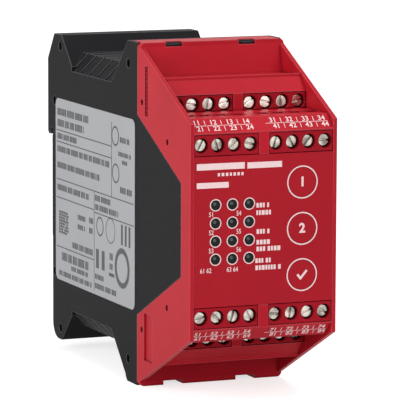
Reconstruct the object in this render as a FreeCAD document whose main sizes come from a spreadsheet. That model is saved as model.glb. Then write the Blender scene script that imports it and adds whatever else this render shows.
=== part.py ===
"""DIN-rail safety relay module, 45 mm class, as a parametric FreeCAD document.

Frame: +X to the right of the front panel, +Y from the front panel to the rail, +Z up. The origin is the
middle of the rail seat, on the flat rear face that the rail's flanges press against. Lengths along the
module are given as depths: the distance forward from the rail seat, so Y = -depth.
"""
import FreeCAD, Part
import os
import re
import Sketcher

Vector = FreeCAD.Vector
Placement = FreeCAD.Placement
Rotation = FreeCAD.Rotation

# --- driving dimensions (millimetres, degrees where named angle) --------------------------------------
DIMENSIONS = [
    # overall form
    ("module_width", 44.5), ("module_height", 99.2), ("front_depth", 110.0),
    ("fit_gap", 0.15), ("slide_gap", 0.3),
    # rail seat and fixed hook for the 35 mm rail
    ("rail_height", 35.0), ("rail_gap", 0.2), ("flange_slot", 1.3), ("hook_reach", 3.8),
    ("hook_overlap", 1.9), ("hook_lead", 0.8), ("hook_top", 38.6), ("hook_corner_depth", 1.8),
    ("seat_height", 30.8), ("seat_relief", 0.3),
    # rear housing
    ("housing_wall", 1.8), ("cavity_rear", 6.5), ("block_height", 93.0), ("block_depth", 8.0),
    ("block_corner_radius", 5.0), ("floor_height", 83.0), ("shoulder", 5.2), ("collar_rear", 61.3),
    ("collar_lip", 1.7), ("joint_depth", 70.3), ("vent_width", 1.4), ("vent_pitch", 6.85),
    ("vent_first", 17.4), ("vent_count", 5), ("vent_web", 6.0), ("pin_hole_radius", 1.4), ("pin_hole_deep", 3.0),
    ("pin_hole_block", 6.9), ("pin_hole_collar", 63.1), ("pin_hole_high", 43.0),
    ("pin_hole_hook", 1.8), ("pin_hole_low", 26.1), ("collar_chamfer", 1.25), ("collar_wall", 2.3),
    ("flange_rear", 64.0), ("flange_thick", 1.1), ("snap_centre", 11.3), ("snap_shift", -0.6),
    ("snap_width", 5.1), ("snap_tip", 71.9), ("catch_rear", 70.6), ("catch_thick", 0.6),
    ("catch_drop", 0.2), ("catch_lead", 0.5), ("guide_rib", 1.2),
    ("guide_deep", 2.5), ("guide_length", 40.0),
    # front cover
    ("cover_wall", 1.4), ("panel_wall", 1.6), ("cheek_wall", 1.2), ("cheek_front", 30.3),
    ("cheek_rise", 0.4775), ("bar_corner", 1.4), ("cut_front", 103.4), ("cut_half", 13.2),
    ("strip_low", 27.6), ("strip_size", 3.8), ("tier_step", 18.6), ("rear_strip_low", 36.2),
    ("wall_foot", 74.7), ("wall_top_depth", 72.5), ("wall_top", 48.3), ("lip_thick", 0.55),
    ("lip_high", 0.95), ("notch_rear", 70.4), ("notch_width", 6.0), ("notch_deep", 1.2), ("mouth_wide", 19.2),
    ("mouth_deep", 4.6), ("cheek_hole_radius", 0.95),
    ("cheek_mark_deep", 0.5), ("cheek_slot_rear", 76.1), ("cheek_slot_wide", 2.4),
    ("cheek_slot_low", 29.1), ("cheek_slot_high", 43.3), ("cheek_pad_rear", 75.7),
    ("cheek_pad_wide", 6.2), ("cheek_pad_low", 27.7), ("cheek_pad_high", 41.4),
    ("cheek_hole_rear", 73.8), ("cheek_hole_rear_z", 32.8), ("cheek_hole_front", 93.0),
    ("cheek_hole_front_z", 23.5),
    # panel, foil, keys and indicators
    ("panel_half", 21.2), ("foil_thick", 0.25), ("key_radius", 4.2), ("key_x", 11.7),
    ("key_pitch", 13.1), ("key_middle", -0.3), ("key_thick", 1.9), ("key_flange", 0.8),
    ("key_flange_radius", 4.9), ("key_stem_radius", 1.3), ("key_travel", 0.4),
    ("lamp_radius", 1.4), ("lamp_x", -14.6), ("lamp_z", 7.5), ("lamp_pitch", 5.08),
    ("lamp_columns", 3), ("lamp_rows", 4), ("lamp_web", 1.0), ("lamp_web_edge", 0.9), ("lamp_pin", 1.8),
    ("led_size", 1.8), ("led_thick", 0.9),
    # terminal blocks, screws, cages and contact pins
    ("pole_pitch", 4.95), ("block_gap", 3.0), ("block_clear", 0.2), ("face_inset", 0.1),
    ("front_row_z", 24.2), ("rear_row_z", 33.45), ("turret_half", 2.85), ("turret_deep", 4.7),
    ("terminal_deep", 14.5), ("terminal_low", 4.9), ("well_radius", 2.1), ("entry_deep", 10.3),
    ("entry_wide", 3.3), ("entry_long", 3.2), ("screw_inset", 1.5), ("head_radius", 1.65), ("head_height", 2.4),
    ("shank_radius", 1.3), ("thread_gap", 0.03), ("slot_width", 0.55), ("slot_deep", 0.7), ("cage_front", 6.6),
    ("cage_rear", 12.4), ("cage_wall", 0.8), ("cage_side", 0.5), ("cage_width", 3.9),
    ("cage_low", 3.2), ("cage_high", 3.0), ("cage_gap", 0.1), ("bar_front", 8.4), ("bar_thick", 0.8),
    ("bar_width", 1.2), ("bar_high", 2.8), ("tail_low", 4.2), ("tail_out", 0.8),
    # boards and what they carry
    ("board_thick", 1.6), ("front_board_half", 29.4), ("main_board_half", 34.5), ("board_gap", 0.25),
    ("switch_size", 6.0), ("switch_thick", 3.5), ("plunger_radius", 1.7), ("plunger_out", 1.0),
    ("plunger_in", 1.0), ("relay_long", 29.0), ("relay_wide", 12.6), ("relay_tall", 25.5),
    ("relay_edge", 0.8), ("relay_first", 29.0), ("relay_space", 18.0), ("relay_centre", 15.6),
    ("chip_size", 10.0), ("chip_thick", 1.6), ("chip_centre", 18.0), ("chip_depth", 52.0),
    ("coupler_count", 8), ("coupler_pitch", 7.0), ("coupler_long", 4.6), ("coupler_wide", 6.4),
    ("coupler_tall", 2.2), ("coupler_depth", 62.0), ("capacitor_radius", 4.0),
    ("capacitor_tall", 10.0), ("capacitor_pitch", 9.5), ("capacitor_depth", 18.0),
    ("inductor_size", 10.0), ("inductor_tall", 6.0), ("inductor_depth", 30.0),
    ("converter_long", 19.5), ("converter_wide", 9.8), ("converter_tall", 10.2),
    ("converter_depth", 41.0), ("link_long", 25.0), ("link_wide", 2.5), ("link_centre", 18.2),
    ("side_link_long", 24.0), ("side_link_wide", 5.0), ("side_link_deep", 6.5),
    # side label
    ("label_thick", 0.15), ("label_rear", 3.3), ("label_front", 68.6), ("label_top", 27.2),
    ("label_bottom", -28.1), ("label_corner", 2.2),
    # rail latch and its spring
    ("latch_width", 24.0), ("latch_neck", 20.0), ("latch_neck_deep", 2.2), ("latch_deep", 4.2),
    ("latch_top", -14.2), ("latch_bottom", -46.3), ("latch_overlap", 1.8), ("latch_lip", 2.4),
    ("latch_hook_low", -23.5), ("latch_hook_root", -20.0), ("latch_travel", 4.0),
    ("window_half", 2.6), ("window_top", -21.0), ("window_bottom", -36.4), ("post_half", 1.5),
    ("post_top", -34.0), ("post_thick", 2.0), ("pull_slot_half", 3.0), ("pull_slot_low", -44.6),
    ("pull_slot_high", -42.4), ("spring_turns", 5), ("spring_radius", 1.3), ("spring_wire", 0.5),
]

doc = FreeCAD.newDocument("SafetyRelay")
sheet = doc.addObject("Spreadsheet::Sheet", "Sheet")
for line, (alias, size) in enumerate(DIMENSIONS, start=1):
    sheet.set("A%d" % line, alias)
    sheet.set("B%d" % line, str(size))
    sheet.setAlias("B%d" % line, alias)
doc.recompute()

ALIASES = re.compile(r"\b(%s)\b" % "|".join(name for name, size in DIMENSIONS))
PARTS = []


# --- small drafting tools ------------------------------------------------------------------------------
def size_of(expression):
    """The present value of an expression written with the sheet's aliases."""
    return float(sheet.evalExpression(str(expression)))


def bind(target, prop, expression):
    """Tie a property to the sheet."""
    target.setExpression(prop, ALIASES.sub(r"Sheet.\1", str(expression)))


def keep(piece, name):
    """Name a finished piece and put it on the list of parts."""
    piece.Label = name
    PARTS.append(piece)
    return piece


def plane_of(body, role):
    """One of the body's own origin planes."""
    return [item for item in body.Origin.OriginFeatures if item.Role == role][0]


def new_body(name):
    return doc.addObject("PartDesign::Body", name + "_body")


def new_sketch(body, name, role, offset="0"):
    """A sketch on an origin plane, moved along its normal by an expression."""
    sketch = body.newObject("Sketcher::SketchObject", name)
    sketch.AttachmentSupport = [(plane_of(body, role), "")]
    sketch.MapMode = "FlatFace"
    bind(sketch, "AttachmentOffset.Base.z", offset)
    return sketch


def fix_point(sketch, geometry, point, x, y):
    """Dimension a point from the sketch origin with two expressions."""
    for kind, place in (("DistanceX", x), ("DistanceY", y)):
        index = sketch.addConstraint(
            Sketcher.Constraint(kind, -1, 1, geometry, point, size_of(place)))
        name = "d%d" % index
        sketch.renameConstraint(index, name)
        bind(sketch, "Constraints." + name, place)


def draw_polygon(sketch, points):
    """A closed outline whose every corner is dimensioned."""
    corners = [Vector(size_of(x), size_of(y), 0) for x, y in points]
    first = sketch.GeometryCount
    count = len(points)
    for index in range(count):
        sketch.addGeometry(Part.LineSegment(corners[index], corners[(index + 1) % count]), False)
    for index in range(count):
        following = first + (index + 1) % count
        sketch.addConstraint(Sketcher.Constraint("Coincident", first + index, 2, following, 1))
    for index, (x, y) in enumerate(points):
        fix_point(sketch, first + index, 1, x, y)


def draw_rectangle(sketch, left, right, low, high):
    draw_polygon(sketch, [(left, low), (right, low), (right, high), (left, high)])


def draw_circle(sketch, x, y, radius):
    centre = Vector(size_of(x), size_of(y), 0)
    ring = sketch.addGeometry(Part.Circle(centre, Vector(0, 0, 1), size_of(radius)), False)
    index = sketch.addConstraint(Sketcher.Constraint("Radius", ring, size_of(radius)))
    name = "r%d" % index
    sketch.renameConstraint(index, name)
    bind(sketch, "Constraints." + name, radius)
    fix_point(sketch, ring, 3, x, y)


def extrude(body, kind, sketch, length, symmetric=False, backwards=False):
    """A Pad or a Pocket. A Pad runs along the plane's normal, a Pocket against it, unless backwards."""
    feature = body.newObject("PartDesign::" + kind, sketch.Name + kind)
    feature.Profile = sketch
    if symmetric:
        feature.SideType = "Symmetric"
    feature.Reversed = backwards
    bind(feature, "Length", length)
    doc.recompute()
    return feature


def mirror(body, features, role):
    """Repeat features on the other side of an origin plane."""
    copy = body.newObject("PartDesign::Mirrored", features[0].Name + "Mirror")
    copy.Originals = features
    copy.MirrorPlane = (plane_of(body, role), [""])
    body.Tip = copy
    doc.recompute()
    return copy


def side(points):
    """Corners given as (depth, height), for a sketch on the YZ plane."""
    return [("-(%s)" % depth, height) for depth, height in points]


def both_halves(points):
    """An upper outline closed by its own mirror image below."""
    return points + [(depth, "-(%s)" % height) for depth, height in reversed(points)]


def round_edges(body, name, radius, chosen):
    """Fillet the edges that the test picks."""
    base = body.Tip
    names = ["Edge%d" % (index + 1) for index, edge in enumerate(base.Shape.Edges) if chosen(edge)]
    fillet = body.newObject("PartDesign::Fillet", name)
    fillet.Base = (base, names)
    bind(fillet, "Radius", radius)
    doc.recompute()
    return fillet


def runs_along(edge, axis):
    """True for a straight edge parallel to an axis."""
    ends = edge.Vertexes
    if len(ends) < 2 or not isinstance(edge.Curve, Part.Line):
        return False
    return abs((ends[1].Point - ends[0].Point).normalize().dot(axis)) > 0.999


def box(name, x, depth, z):
    """A box between two limits on X, on depth and on Z, each limit an expression."""
    item = doc.addObject("Part::Box", name)
    bind(item, "Length", "(%s) - (%s)" % (x[1], x[0]))
    bind(item, "Width", "(%s) - (%s)" % (depth[1], depth[0]))
    bind(item, "Height", "(%s) - (%s)" % (z[1], z[0]))
    bind(item, "Placement.Base.x", x[0])
    bind(item, "Placement.Base.y", "-(%s)" % depth[1])
    bind(item, "Placement.Base.z", z[0])
    return item


def rod(name, x, z, radius, depth):
    """A round bar along Y between two depths."""
    item = doc.addObject("Part::Cylinder", name)
    item.Placement = Placement(Vector(), Rotation(Vector(1, 0, 0), 90))
    bind(item, "Radius", radius)
    bind(item, "Height", "(%s) - (%s)" % (depth[1], depth[0]))
    bind(item, "Placement.Base.x", x)
    bind(item, "Placement.Base.y", "-(%s)" % depth[0])
    bind(item, "Placement.Base.z", z)
    return item


def octagon_bar(name, x, z, radius, depth):
    """An eight-sided bar along Y, measured over its corners."""
    item = doc.addObject("Part::Prism", name)
    item.Polygon = 8
    item.Placement = Placement(Vector(), Rotation(Vector(1, 0, 0), 90))
    bind(item, "Circumradius", radius)
    bind(item, "Height", "(%s) - (%s)" % (depth[1], depth[0]))
    bind(item, "Placement.Base.x", x)
    bind(item, "Placement.Base.y", "-(%s)" % depth[0])
    bind(item, "Placement.Base.z", z)
    return item


def group(name, items):
    """Separate solids kept together in one node."""
    bunch = doc.addObject("Part::Compound", name)
    bunch.Links = items
    return bunch


def cut(name, base, tool):
    item = doc.addObject("Part::Cut", name)
    item.Base = base
    item.Tool = tool
    return item


def join(name, items):
    item = doc.addObject("Part::MultiFuse", name)
    item.Shapes = items
    return item


# --- places shared by several pieces --------------------------------------------------------------------
HALF_WIDTH = "module_width / 2"
HALF_HEIGHT = "module_height / 2"
CHEEK_INNER = "(module_width / 2 - cheek_wall)"
FLOOR = "floor_height / 2"
SHOULDER_LOW = "(floor_height / 2 - shoulder)"
STRIP_TOP = "(strip_low + strip_size)"
REAR_FACE = "(front_depth - tier_step)"
REAR_STRIP_TOP = "(rear_strip_low + strip_size)"
PANEL_BACK = "(front_depth - panel_wall)"
BLOCK_INNER = "(block_gap / 2)"
BLOCK_CENTRE = "(block_gap / 4 + module_width / 4 - cheek_wall / 2)"
FRONT_TERMINALS = "(front_depth - face_inset)"
REAR_TERMINALS = "(front_depth - tier_step - face_inset)"
FRONT_BOARD = "(front_depth - face_inset - terminal_deep)"
TERMINAL_BOARD = "(front_depth - tier_step - face_inset - terminal_deep)"
BOARD_INNER = "(module_width / 2 - housing_wall - board_gap - board_thick)"
CUT_AT_JOINT = "(cut_half + (cut_front - joint_depth) * cheek_rise)"
LATCH_STOP = "(rail_height / 2 + rail_gap)"
FLANGE_LOW = "(module_height / 2 - flange_thick)"
TONGUE_LOW = "(module_height / 2 - collar_wall)"
SNAPS = ["(snap_shift - snap_centre)", "(snap_shift + snap_centre)"]


def cheek_height(depth):
    """Height of the cheek's slanted edge at a depth."""
    return "cheek_front + (front_depth - (%s)) * cheek_rise" % depth


# --- rear housing ---------------------------------------------------------------------------------------
def octagon(half_width, half_height, corner):
    """A rectangle about the origin with 45 degree corners."""
    inner_x = "(%s) - (%s)" % (half_width, corner)
    inner_z = "(%s) - (%s)" % (half_height, corner)
    right = [("-(%s)" % inner_z, half_width), (inner_z, half_width), (half_height, inner_x)]
    points = [(x, z) for z, x in right] + [("-(%s)" % inner_x, half_height)]
    points += [("-(%s)" % half_width, inner_z), ("-(%s)" % half_width, "-(%s)" % inner_z)]
    return points + [("-(%s)" % inner_x, "-(%s)" % half_height), (inner_x, "-(%s)" % half_height)]


def make_rear_housing():
    """Moulded shell: rail hook, rear block, vented shoulders, collar, side tongues and latch channel."""
    body = new_body("rear_housing")
    collar_slope = "(collar_rear - (module_height / 2 - collar_lip - floor_height / 2 + shoulder))"
    block_slope = "(block_depth + block_height / 2 - floor_height / 2 + shoulder)"
    upper = [("joint_depth", HALF_HEIGHT), ("collar_rear + collar_chamfer", HALF_HEIGHT),
             ("collar_rear", "module_height / 2 - collar_chamfer"),
             ("collar_rear", "module_height / 2 - collar_lip"), (collar_slope, SHOULDER_LOW),
             (block_slope, SHOULDER_LOW), ("block_depth", "block_height / 2")]
    hook = [("hook_corner_depth", "block_height / 2"), ("-hook_reach", "hook_top"),
            ("-hook_reach", "rail_height / 2 - hook_overlap + hook_lead"),
            ("-hook_reach + hook_lead", "rail_height / 2 - hook_overlap"),
            ("-flange_slot", "rail_height / 2 - hook_overlap"),
            ("-flange_slot", "rail_height / 2 + rail_gap"),
            ("seat_relief", "rail_height / 2 + rail_gap"), ("seat_relief", "seat_height / 2"),
            ("0", "seat_height / 2"), ("0", "-seat_height / 2"), ("seat_relief", "-seat_height / 2"),
            ("seat_relief", "-block_height / 2")]
    lower = [(depth, "-(%s)" % height) for depth, height in reversed(upper)]
    profile = new_sketch(body, "HousingProfile", "YZ_Plane")
    draw_polygon(profile, side(upper + hook + lower))
    extrude(body, "Pad", profile, "module_width", symmetric=True)
    corner = Vector(0, -size_of("seat_relief"), -size_of("block_height / 2"))
    round_edges(body, "RearCorner", "block_corner_radius", lambda edge: runs_along(edge, Vector(1, 0, 0))
                and (edge.CenterOfMass - corner).Length < 0.01)

    spine = new_sketch(body, "HousingSpine", "XZ_Plane", "block_depth")
    draw_polygon(spine, octagon(HALF_WIDTH, FLOOR, "shoulder"))
    extrude(body, "Pad", spine, "collar_rear - block_depth")

    inner_floor = "(floor_height / 2 - housing_wall)"
    inner_shoulder = "(shoulder - housing_wall * (2 - sqrt(2)))"
    cavity = new_sketch(body, "HousingCavity", "XZ_Plane", "joint_depth")
    draw_polygon(cavity, octagon("module_width / 2 - housing_wall", inner_floor, inner_shoulder))
    extrude(body, "Pocket", cavity, "joint_depth - cavity_rear")
    inner_lip = "(module_height / 2 - collar_lip - housing_wall * (sqrt(2) - 1))"
    collar = [("joint_depth + 1", TONGUE_LOW), ("collar_rear + housing_wall", TONGUE_LOW),
              ("collar_rear + housing_wall", inner_lip),
              ("collar_rear + housing_wall - %s + %s" % (inner_lip, inner_floor), inner_floor)]
    hollow = new_sketch(body, "CollarCavity", "YZ_Plane")
    draw_polygon(hollow, side(both_halves(collar)))
    extrude(body, "Pocket", hollow, "module_width - 2 * housing_wall", symmetric=True)

    rebate = new_sketch(body, "FlangeRebate", "XZ_Plane", "joint_depth")
    wide = "(%s + fit_gap)" % CHEEK_INNER
    draw_rectangle(rebate, "-" + wide, wide, FLANGE_LOW + " - fit_gap", HALF_HEIGHT + " + 1")
    lapped = extrude(body, "Pocket", rebate, "joint_depth - flange_rear + fit_gap")
    mirror(body, [lapped], "XY_Plane")

    vents = new_sketch(body, "Vents", "XY_Plane", "floor_height / 2 + 1")
    for row in range(int(size_of("vent_count"))):
        near = "-(vent_first + %d * vent_pitch - vent_width / 2)" % row
        far = "-(vent_first + %d * vent_pitch + vent_width / 2)" % row
        draw_rectangle(vents, "vent_web / 2", "module_width / 2 + 1", far, near)
        draw_rectangle(vents, "-module_width / 2 - 1", "-vent_web / 2", far, near)
    upper_vents = extrude(body, "Pocket", vents, "1 + shoulder")
    mirror(body, [upper_vents], "XY_Plane")

    marks = new_sketch(body, "PinHoles", "YZ_Plane", HALF_WIDTH)
    for depth, height in (("pin_hole_block", "pin_hole_high"), ("pin_hole_collar", "pin_hole_high"),
                          ("pin_hole_hook", "pin_hole_low")):
        draw_circle(marks, "-(%s)" % depth, height, "pin_hole_radius")
        draw_circle(marks, "-(%s)" % depth, "-(%s)" % height, "pin_hole_radius")
    holes = extrude(body, "Pocket", marks, "pin_hole_deep")
    mirror(body, [holes], "YZ_Plane")

    tongue = new_sketch(body, "Tongue", "YZ_Plane", CHEEK_INNER)
    draw_polygon(tongue, side(both_halves([
        ("joint_depth - 2", CUT_AT_JOINT + " - fit_gap"), ("joint_depth", CUT_AT_JOINT + " - fit_gap"),
        ("cut_front - fit_gap", "cut_half - fit_gap")])))
    tongue_pad = extrude(body, "Pad", tongue, "cheek_wall")
    mirror(body, [tongue_pad], "YZ_Plane")

    tongue_top = FLANGE_LOW + " - fit_gap"
    catch_top = "module_height / 2 - catch_drop"
    for index, centre in enumerate(SNAPS):
        snap = new_sketch(body, "Snap%d" % index, "YZ_Plane", centre + " - snap_width / 2 + fit_gap")
        draw_polygon(snap, side([
            ("joint_depth - 1", TONGUE_LOW), ("joint_depth - 1", tongue_top), ("catch_rear", tongue_top),
            ("catch_rear", catch_top), ("catch_rear + catch_thick", catch_top),
            ("snap_tip", catch_top + " - catch_lead"), ("snap_tip", TONGUE_LOW)]))
        extrude(body, "Pad", snap, "snap_width - 2 * fit_gap")

    channel = new_sketch(body, "LatchChannel", "XY_Plane", "-block_height / 2 - 1")
    neck = "(latch_neck / 2 + slide_gap)"
    wide = "(latch_width / 2 + slide_gap)"
    floor = "-(latch_deep + slide_gap)"
    step = "-(latch_neck_deep - slide_gap)"
    draw_polygon(channel, [("-" + neck, "hook_reach + 1"), ("-" + neck, step), ("-" + wide, step),
                           ("-" + wide, floor), (wide, floor), (wide, step), (neck, step),
                           (neck, "hook_reach + 1")])
    extrude(body, "Pocket", channel, "block_height / 2 + 1 + latch_top + slide_gap", backwards=True)
    post = new_sketch(body, "SpringPost", "XY_Plane", "post_top")
    draw_rectangle(post, "-post_half", "post_half", floor + " - 0.5", "-slide_gap")
    extrude(body, "Pad", post, "post_thick", backwards=True)

    ribs = new_sketch(body, "BoardGuides", "XZ_Plane", "cavity_rear - 0.5")
    near_rib = "(%s - fit_gap)" % BOARD_INNER
    for sign in ("", "-"):
        edges = (sign + near_rib, "%s(%s - guide_rib)" % (sign, near_rib))
        draw_rectangle(ribs, edges[0], edges[1], "-guide_length / 2", "guide_length / 2")
    extrude(body, "Pad", ribs, "guide_deep + 0.5")
    return keep(body, "rear_housing")


# --- front cover ----------------------------------------------------------------------------------------
def make_front_cover():
    """Stepped moulding: two terminal tiers each way, marking strips, leaning rear walls and cheeks."""
    body = new_body("front_cover")
    lip_front, lip_top = REAR_FACE + " - strip_size", REAR_STRIP_TOP + " + lip_high"
    steps = [("joint_depth", HALF_HEIGHT), ("wall_top_depth", HALF_HEIGHT), ("wall_top_depth", "wall_top"),
             ("wall_foot", REAR_STRIP_TOP), (lip_front + " - lip_thick", REAR_STRIP_TOP),
             (lip_front + " - lip_thick", lip_top), (lip_front, lip_top), (lip_front, REAR_STRIP_TOP),
             (REAR_FACE, "rear_strip_low"),
             (REAR_FACE, STRIP_TOP), ("front_depth - strip_size", STRIP_TOP), ("front_depth", "strip_low")]
    tiers = new_sketch(body, "Tiers", "YZ_Plane")
    draw_polygon(tiers, side(both_halves(steps)))
    extrude(body, "Pad", tiers, "module_width - 2 * cheek_wall", symmetric=True)

    outline = [("joint_depth", HALF_HEIGHT), ("wall_top_depth", HALF_HEIGHT),
               ("wall_top_depth", cheek_height("wall_top_depth")), ("front_depth", "cheek_front")]
    cheek = new_sketch(body, "Cheek", "YZ_Plane", CHEEK_INNER)
    draw_polygon(cheek, side(both_halves(outline)))
    cheek_pad = extrude(body, "Pad", cheek, "cheek_wall")
    mirror(body, [cheek_pad], "YZ_Plane")
    flange = new_sketch(body, "Flange", "XZ_Plane", "joint_depth + 1")
    draw_rectangle(flange, "-" + CHEEK_INNER, CHEEK_INNER, FLANGE_LOW, HALF_HEIGHT)
    lap = extrude(body, "Pad", flange, "joint_depth + 1 - flange_rear", backwards=True)
    mirror(body, [lap], "XY_Plane")
    half_wide, half_high = size_of(HALF_WIDTH), size_of(HALF_HEIGHT)
    round_edges(body, "BarCorners", "bar_corner", lambda edge: runs_along(edge, Vector(0, 1, 0))
                and abs(abs(edge.CenterOfMass.x) - half_wide) < 0.01
                and abs(abs(edge.CenterOfMass.z) - half_high) < 0.01)

    slant = "cover_wall * sqrt(2)"
    inner_ledge = "(%s - cover_wall)" % STRIP_TOP
    rear_ledge = "(%s - cover_wall)" % REAR_STRIP_TOP
    inner_face = "(%s - cover_wall)" % REAR_FACE
    inside = [("joint_depth - 1", "wall_top - cover_wall"),
              ("wall_top_depth - cover_wall", "wall_top - cover_wall"),
              ("wall_foot - cover_wall", rear_ledge),
              ("%s + rear_strip_low - %s - %s" % (REAR_FACE, slant, rear_ledge), rear_ledge),
              (inner_face, "%s + rear_strip_low - %s - %s" % (REAR_FACE, slant, inner_face)),
              (inner_face, inner_ledge),
              ("front_depth + strip_low - %s - %s" % (slant, inner_ledge), inner_ledge),
              (PANEL_BACK, "front_depth + strip_low - %s - %s" % (slant, PANEL_BACK))]
    hollow = new_sketch(body, "CoverCavity", "YZ_Plane")
    draw_polygon(hollow, side(both_halves(inside)))
    extrude(body, "Pocket", hollow, "module_width - 2 * cheek_wall", symmetric=True)

    window = new_sketch(body, "CheekWindow", "YZ_Plane")
    draw_polygon(window, side(both_halves([("joint_depth - 1", CUT_AT_JOINT + " + cheek_rise"),
                                           ("cut_front", "cut_half")])))
    extrude(body, "Pocket", window, "module_width + 2", symmetric=True)

    recess = new_sketch(body, "FoilRecess", "XZ_Plane", "front_depth")
    draw_rectangle(recess, "-(%s)" % CHEEK_INNER, CHEEK_INNER, "-panel_half", "panel_half")
    extrude(body, "Pocket", recess, "foil_thick")

    for name, face, axis, deep in (("FrontOpenings", "front_depth", "front_row_z", "panel_wall + 1"),
                                   ("RearOpenings", REAR_FACE, "rear_row_z", "2.5 * cover_wall")):
        openings = new_sketch(body, name, "XZ_Plane", face)
        low = "(%s - turret_half - block_clear)" % axis
        high = "(%s + turret_half + block_clear)" % axis
        if name == "RearOpenings":
            low, high = STRIP_TOP, "rear_strip_low"
        for left, right in ((BLOCK_INNER, CHEEK_INNER), ("-" + CHEEK_INNER, "-" + BLOCK_INNER)):
            draw_rectangle(openings, left, right, low, high)
            draw_rectangle(openings, left, right, "-" + high, "-" + low)
        extrude(body, "Pocket", openings, deep)

    for name, ledge, face in (("FrontMouths", STRIP_TOP, FRONT_TERMINALS),
                              ("RearMouths", REAR_STRIP_TOP, REAR_TERMINALS)):
        mouths = new_sketch(body, name, "XY_Plane", ledge + " + 1")
        for sign in ("", "-"):
            centre = sign + BLOCK_CENTRE
            draw_rectangle(mouths, centre + " - mouth_wide / 2", centre + " + mouth_wide / 2",
                           "-(%s - entry_deep + mouth_deep / 2)" % face,
                           "-(%s - entry_deep - mouth_deep / 2)" % face)
        upper = extrude(body, "Pocket", mouths, "1 + cover_wall + fit_gap")
        mirror(body, [upper], "XY_Plane")

    passage = new_sketch(body, "SnapPassages", "XZ_Plane", "snap_tip + fit_gap")
    windows = new_sketch(body, "SnapWindows", "XZ_Plane", "wall_foot")
    notches = new_sketch(body, "LowerNotches", "XZ_Plane", "wall_foot")
    for centre in SNAPS:
        left, right = centre + " - snap_width / 2", centre + " + snap_width / 2"
        draw_rectangle(passage, left, right, "wall_top - cover_wall", FLANGE_LOW)
        draw_rectangle(windows, left, right, "wall_top", HALF_HEIGHT + " + 1")
        draw_rectangle(notches, centre + " - notch_width / 2", centre + " + notch_width / 2",
                       "-(%s + 1)" % HALF_HEIGHT, "-(%s - notch_deep)" % HALF_HEIGHT)
    extrude(body, "Pocket", passage, "snap_tip + fit_gap - joint_depth + 1")
    extrude(body, "Pocket", windows, "wall_foot - notch_rear")
    extrude(body, "Pocket", notches, "wall_foot - flange_rear + 1")

    marks = new_sketch(body, "CheekMarks", "YZ_Plane", HALF_WIDTH)
    for depth, height in (("cheek_hole_rear", "cheek_hole_rear_z"),
                          ("cheek_hole_front", "cheek_hole_front_z")):
        draw_circle(marks, "-(%s)" % depth, height, "cheek_hole_radius")
        draw_circle(marks, "-(%s)" % depth, "-(%s)" % height, "cheek_hole_radius")
    draw_rectangle(marks, "-cheek_slot_rear - cheek_slot_wide", "-cheek_slot_rear",
                   "cheek_slot_low", "cheek_slot_high")
    draw_rectangle(marks, "-cheek_pad_rear - cheek_pad_wide", "-cheek_pad_rear",
                   "-cheek_pad_high", "-cheek_pad_low")
    pressed = extrude(body, "Pocket", marks, "cheek_mark_deep")
    mirror(body, [pressed], "YZ_Plane")

    panel = new_sketch(body, "PanelOpenings", "XZ_Plane", "front_depth")
    left, right, low, high = lamp_field("lamp_radius + fit_gap")
    draw_rectangle(panel, left, right, low, high)
    for z in key_places():
        draw_circle(panel, "key_x", z, "key_radius + fit_gap")
    extrude(body, "Pocket", panel, "panel_wall + 1")
    return keep(body, "front_cover")


def lamp_places():
    """Centres of the indicator windows, column by column."""
    columns, rows = int(size_of("lamp_columns")), int(size_of("lamp_rows"))
    return [("lamp_x + %d * lamp_pitch" % column, "lamp_z - %d * lamp_pitch" % row)
            for column in range(columns) for row in range(rows)]


def lamp_field(margin):
    """Limits of the indicator field on X and Z, with a margin round the outer windows."""
    last_x = "(lamp_x + (lamp_columns - 1) * lamp_pitch)"
    last_z = "(lamp_z - (lamp_rows - 1) * lamp_pitch)"
    return ("lamp_x - (%s)" % margin, "%s + %s" % (last_x, margin), "%s - (%s)" % (last_z, margin),
            "lamp_z + %s" % margin)


def key_places():
    return ["key_middle + key_pitch", "key_middle", "key_middle - key_pitch"]


# --- panel foil, keys, light guide ----------------------------------------------------------------------
def make_front_foil():
    """Printed polycarbonate foil in the panel's recess, with windows for lamps and keys."""
    body = new_body("front_foil")
    sheet_face = new_sketch(body, "Foil", "XZ_Plane", "front_depth - foil_thick")
    draw_rectangle(sheet_face, "-(%s) + fit_gap / 2" % CHEEK_INNER, "%s - fit_gap / 2" % CHEEK_INNER,
                   "-panel_half + fit_gap / 2", "panel_half - fit_gap / 2")
    extrude(body, "Pad", sheet_face, "foil_thick")
    holes = new_sketch(body, "FoilHoles", "XZ_Plane", "front_depth")
    for x, z in lamp_places():
        draw_circle(holes, x, z, "lamp_radius + fit_gap / 3")
    for z in key_places():
        draw_circle(holes, "key_x", z, "key_radius + fit_gap / 2")
    extrude(body, "Pocket", holes, "foil_thick + 1")
    return keep(body, "front_foil")


def make_key(name, z):
    """Round key cap with a retaining flange behind the panel and a stem that reaches the switch."""
    cap_back = "(front_depth - key_thick)"
    flange_back = "(front_depth - key_thick - key_flange)"
    cap = rod(name + "_cap", "key_x", z, "key_radius", (cap_back, "front_depth"))
    flange = rod(name + "_flange", "key_x", z, "key_flange_radius", (flange_back, cap_back))
    stem = rod(name + "_stem", "key_x", z, "key_stem_radius",
               ("%s + switch_thick + plunger_out" % FRONT_BOARD, flange_back))
    keep(join(name + "_fuse", [cap, flange, stem]), name)
    plunger = rod(name + "_button", "key_x", z, "plunger_radius",
                  ("%s + switch_thick - plunger_in" % FRONT_BOARD,
                   "%s + switch_thick + plunger_out" % FRONT_BOARD))
    keep(plunger, name.replace("key", "switch_plunger"))


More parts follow.
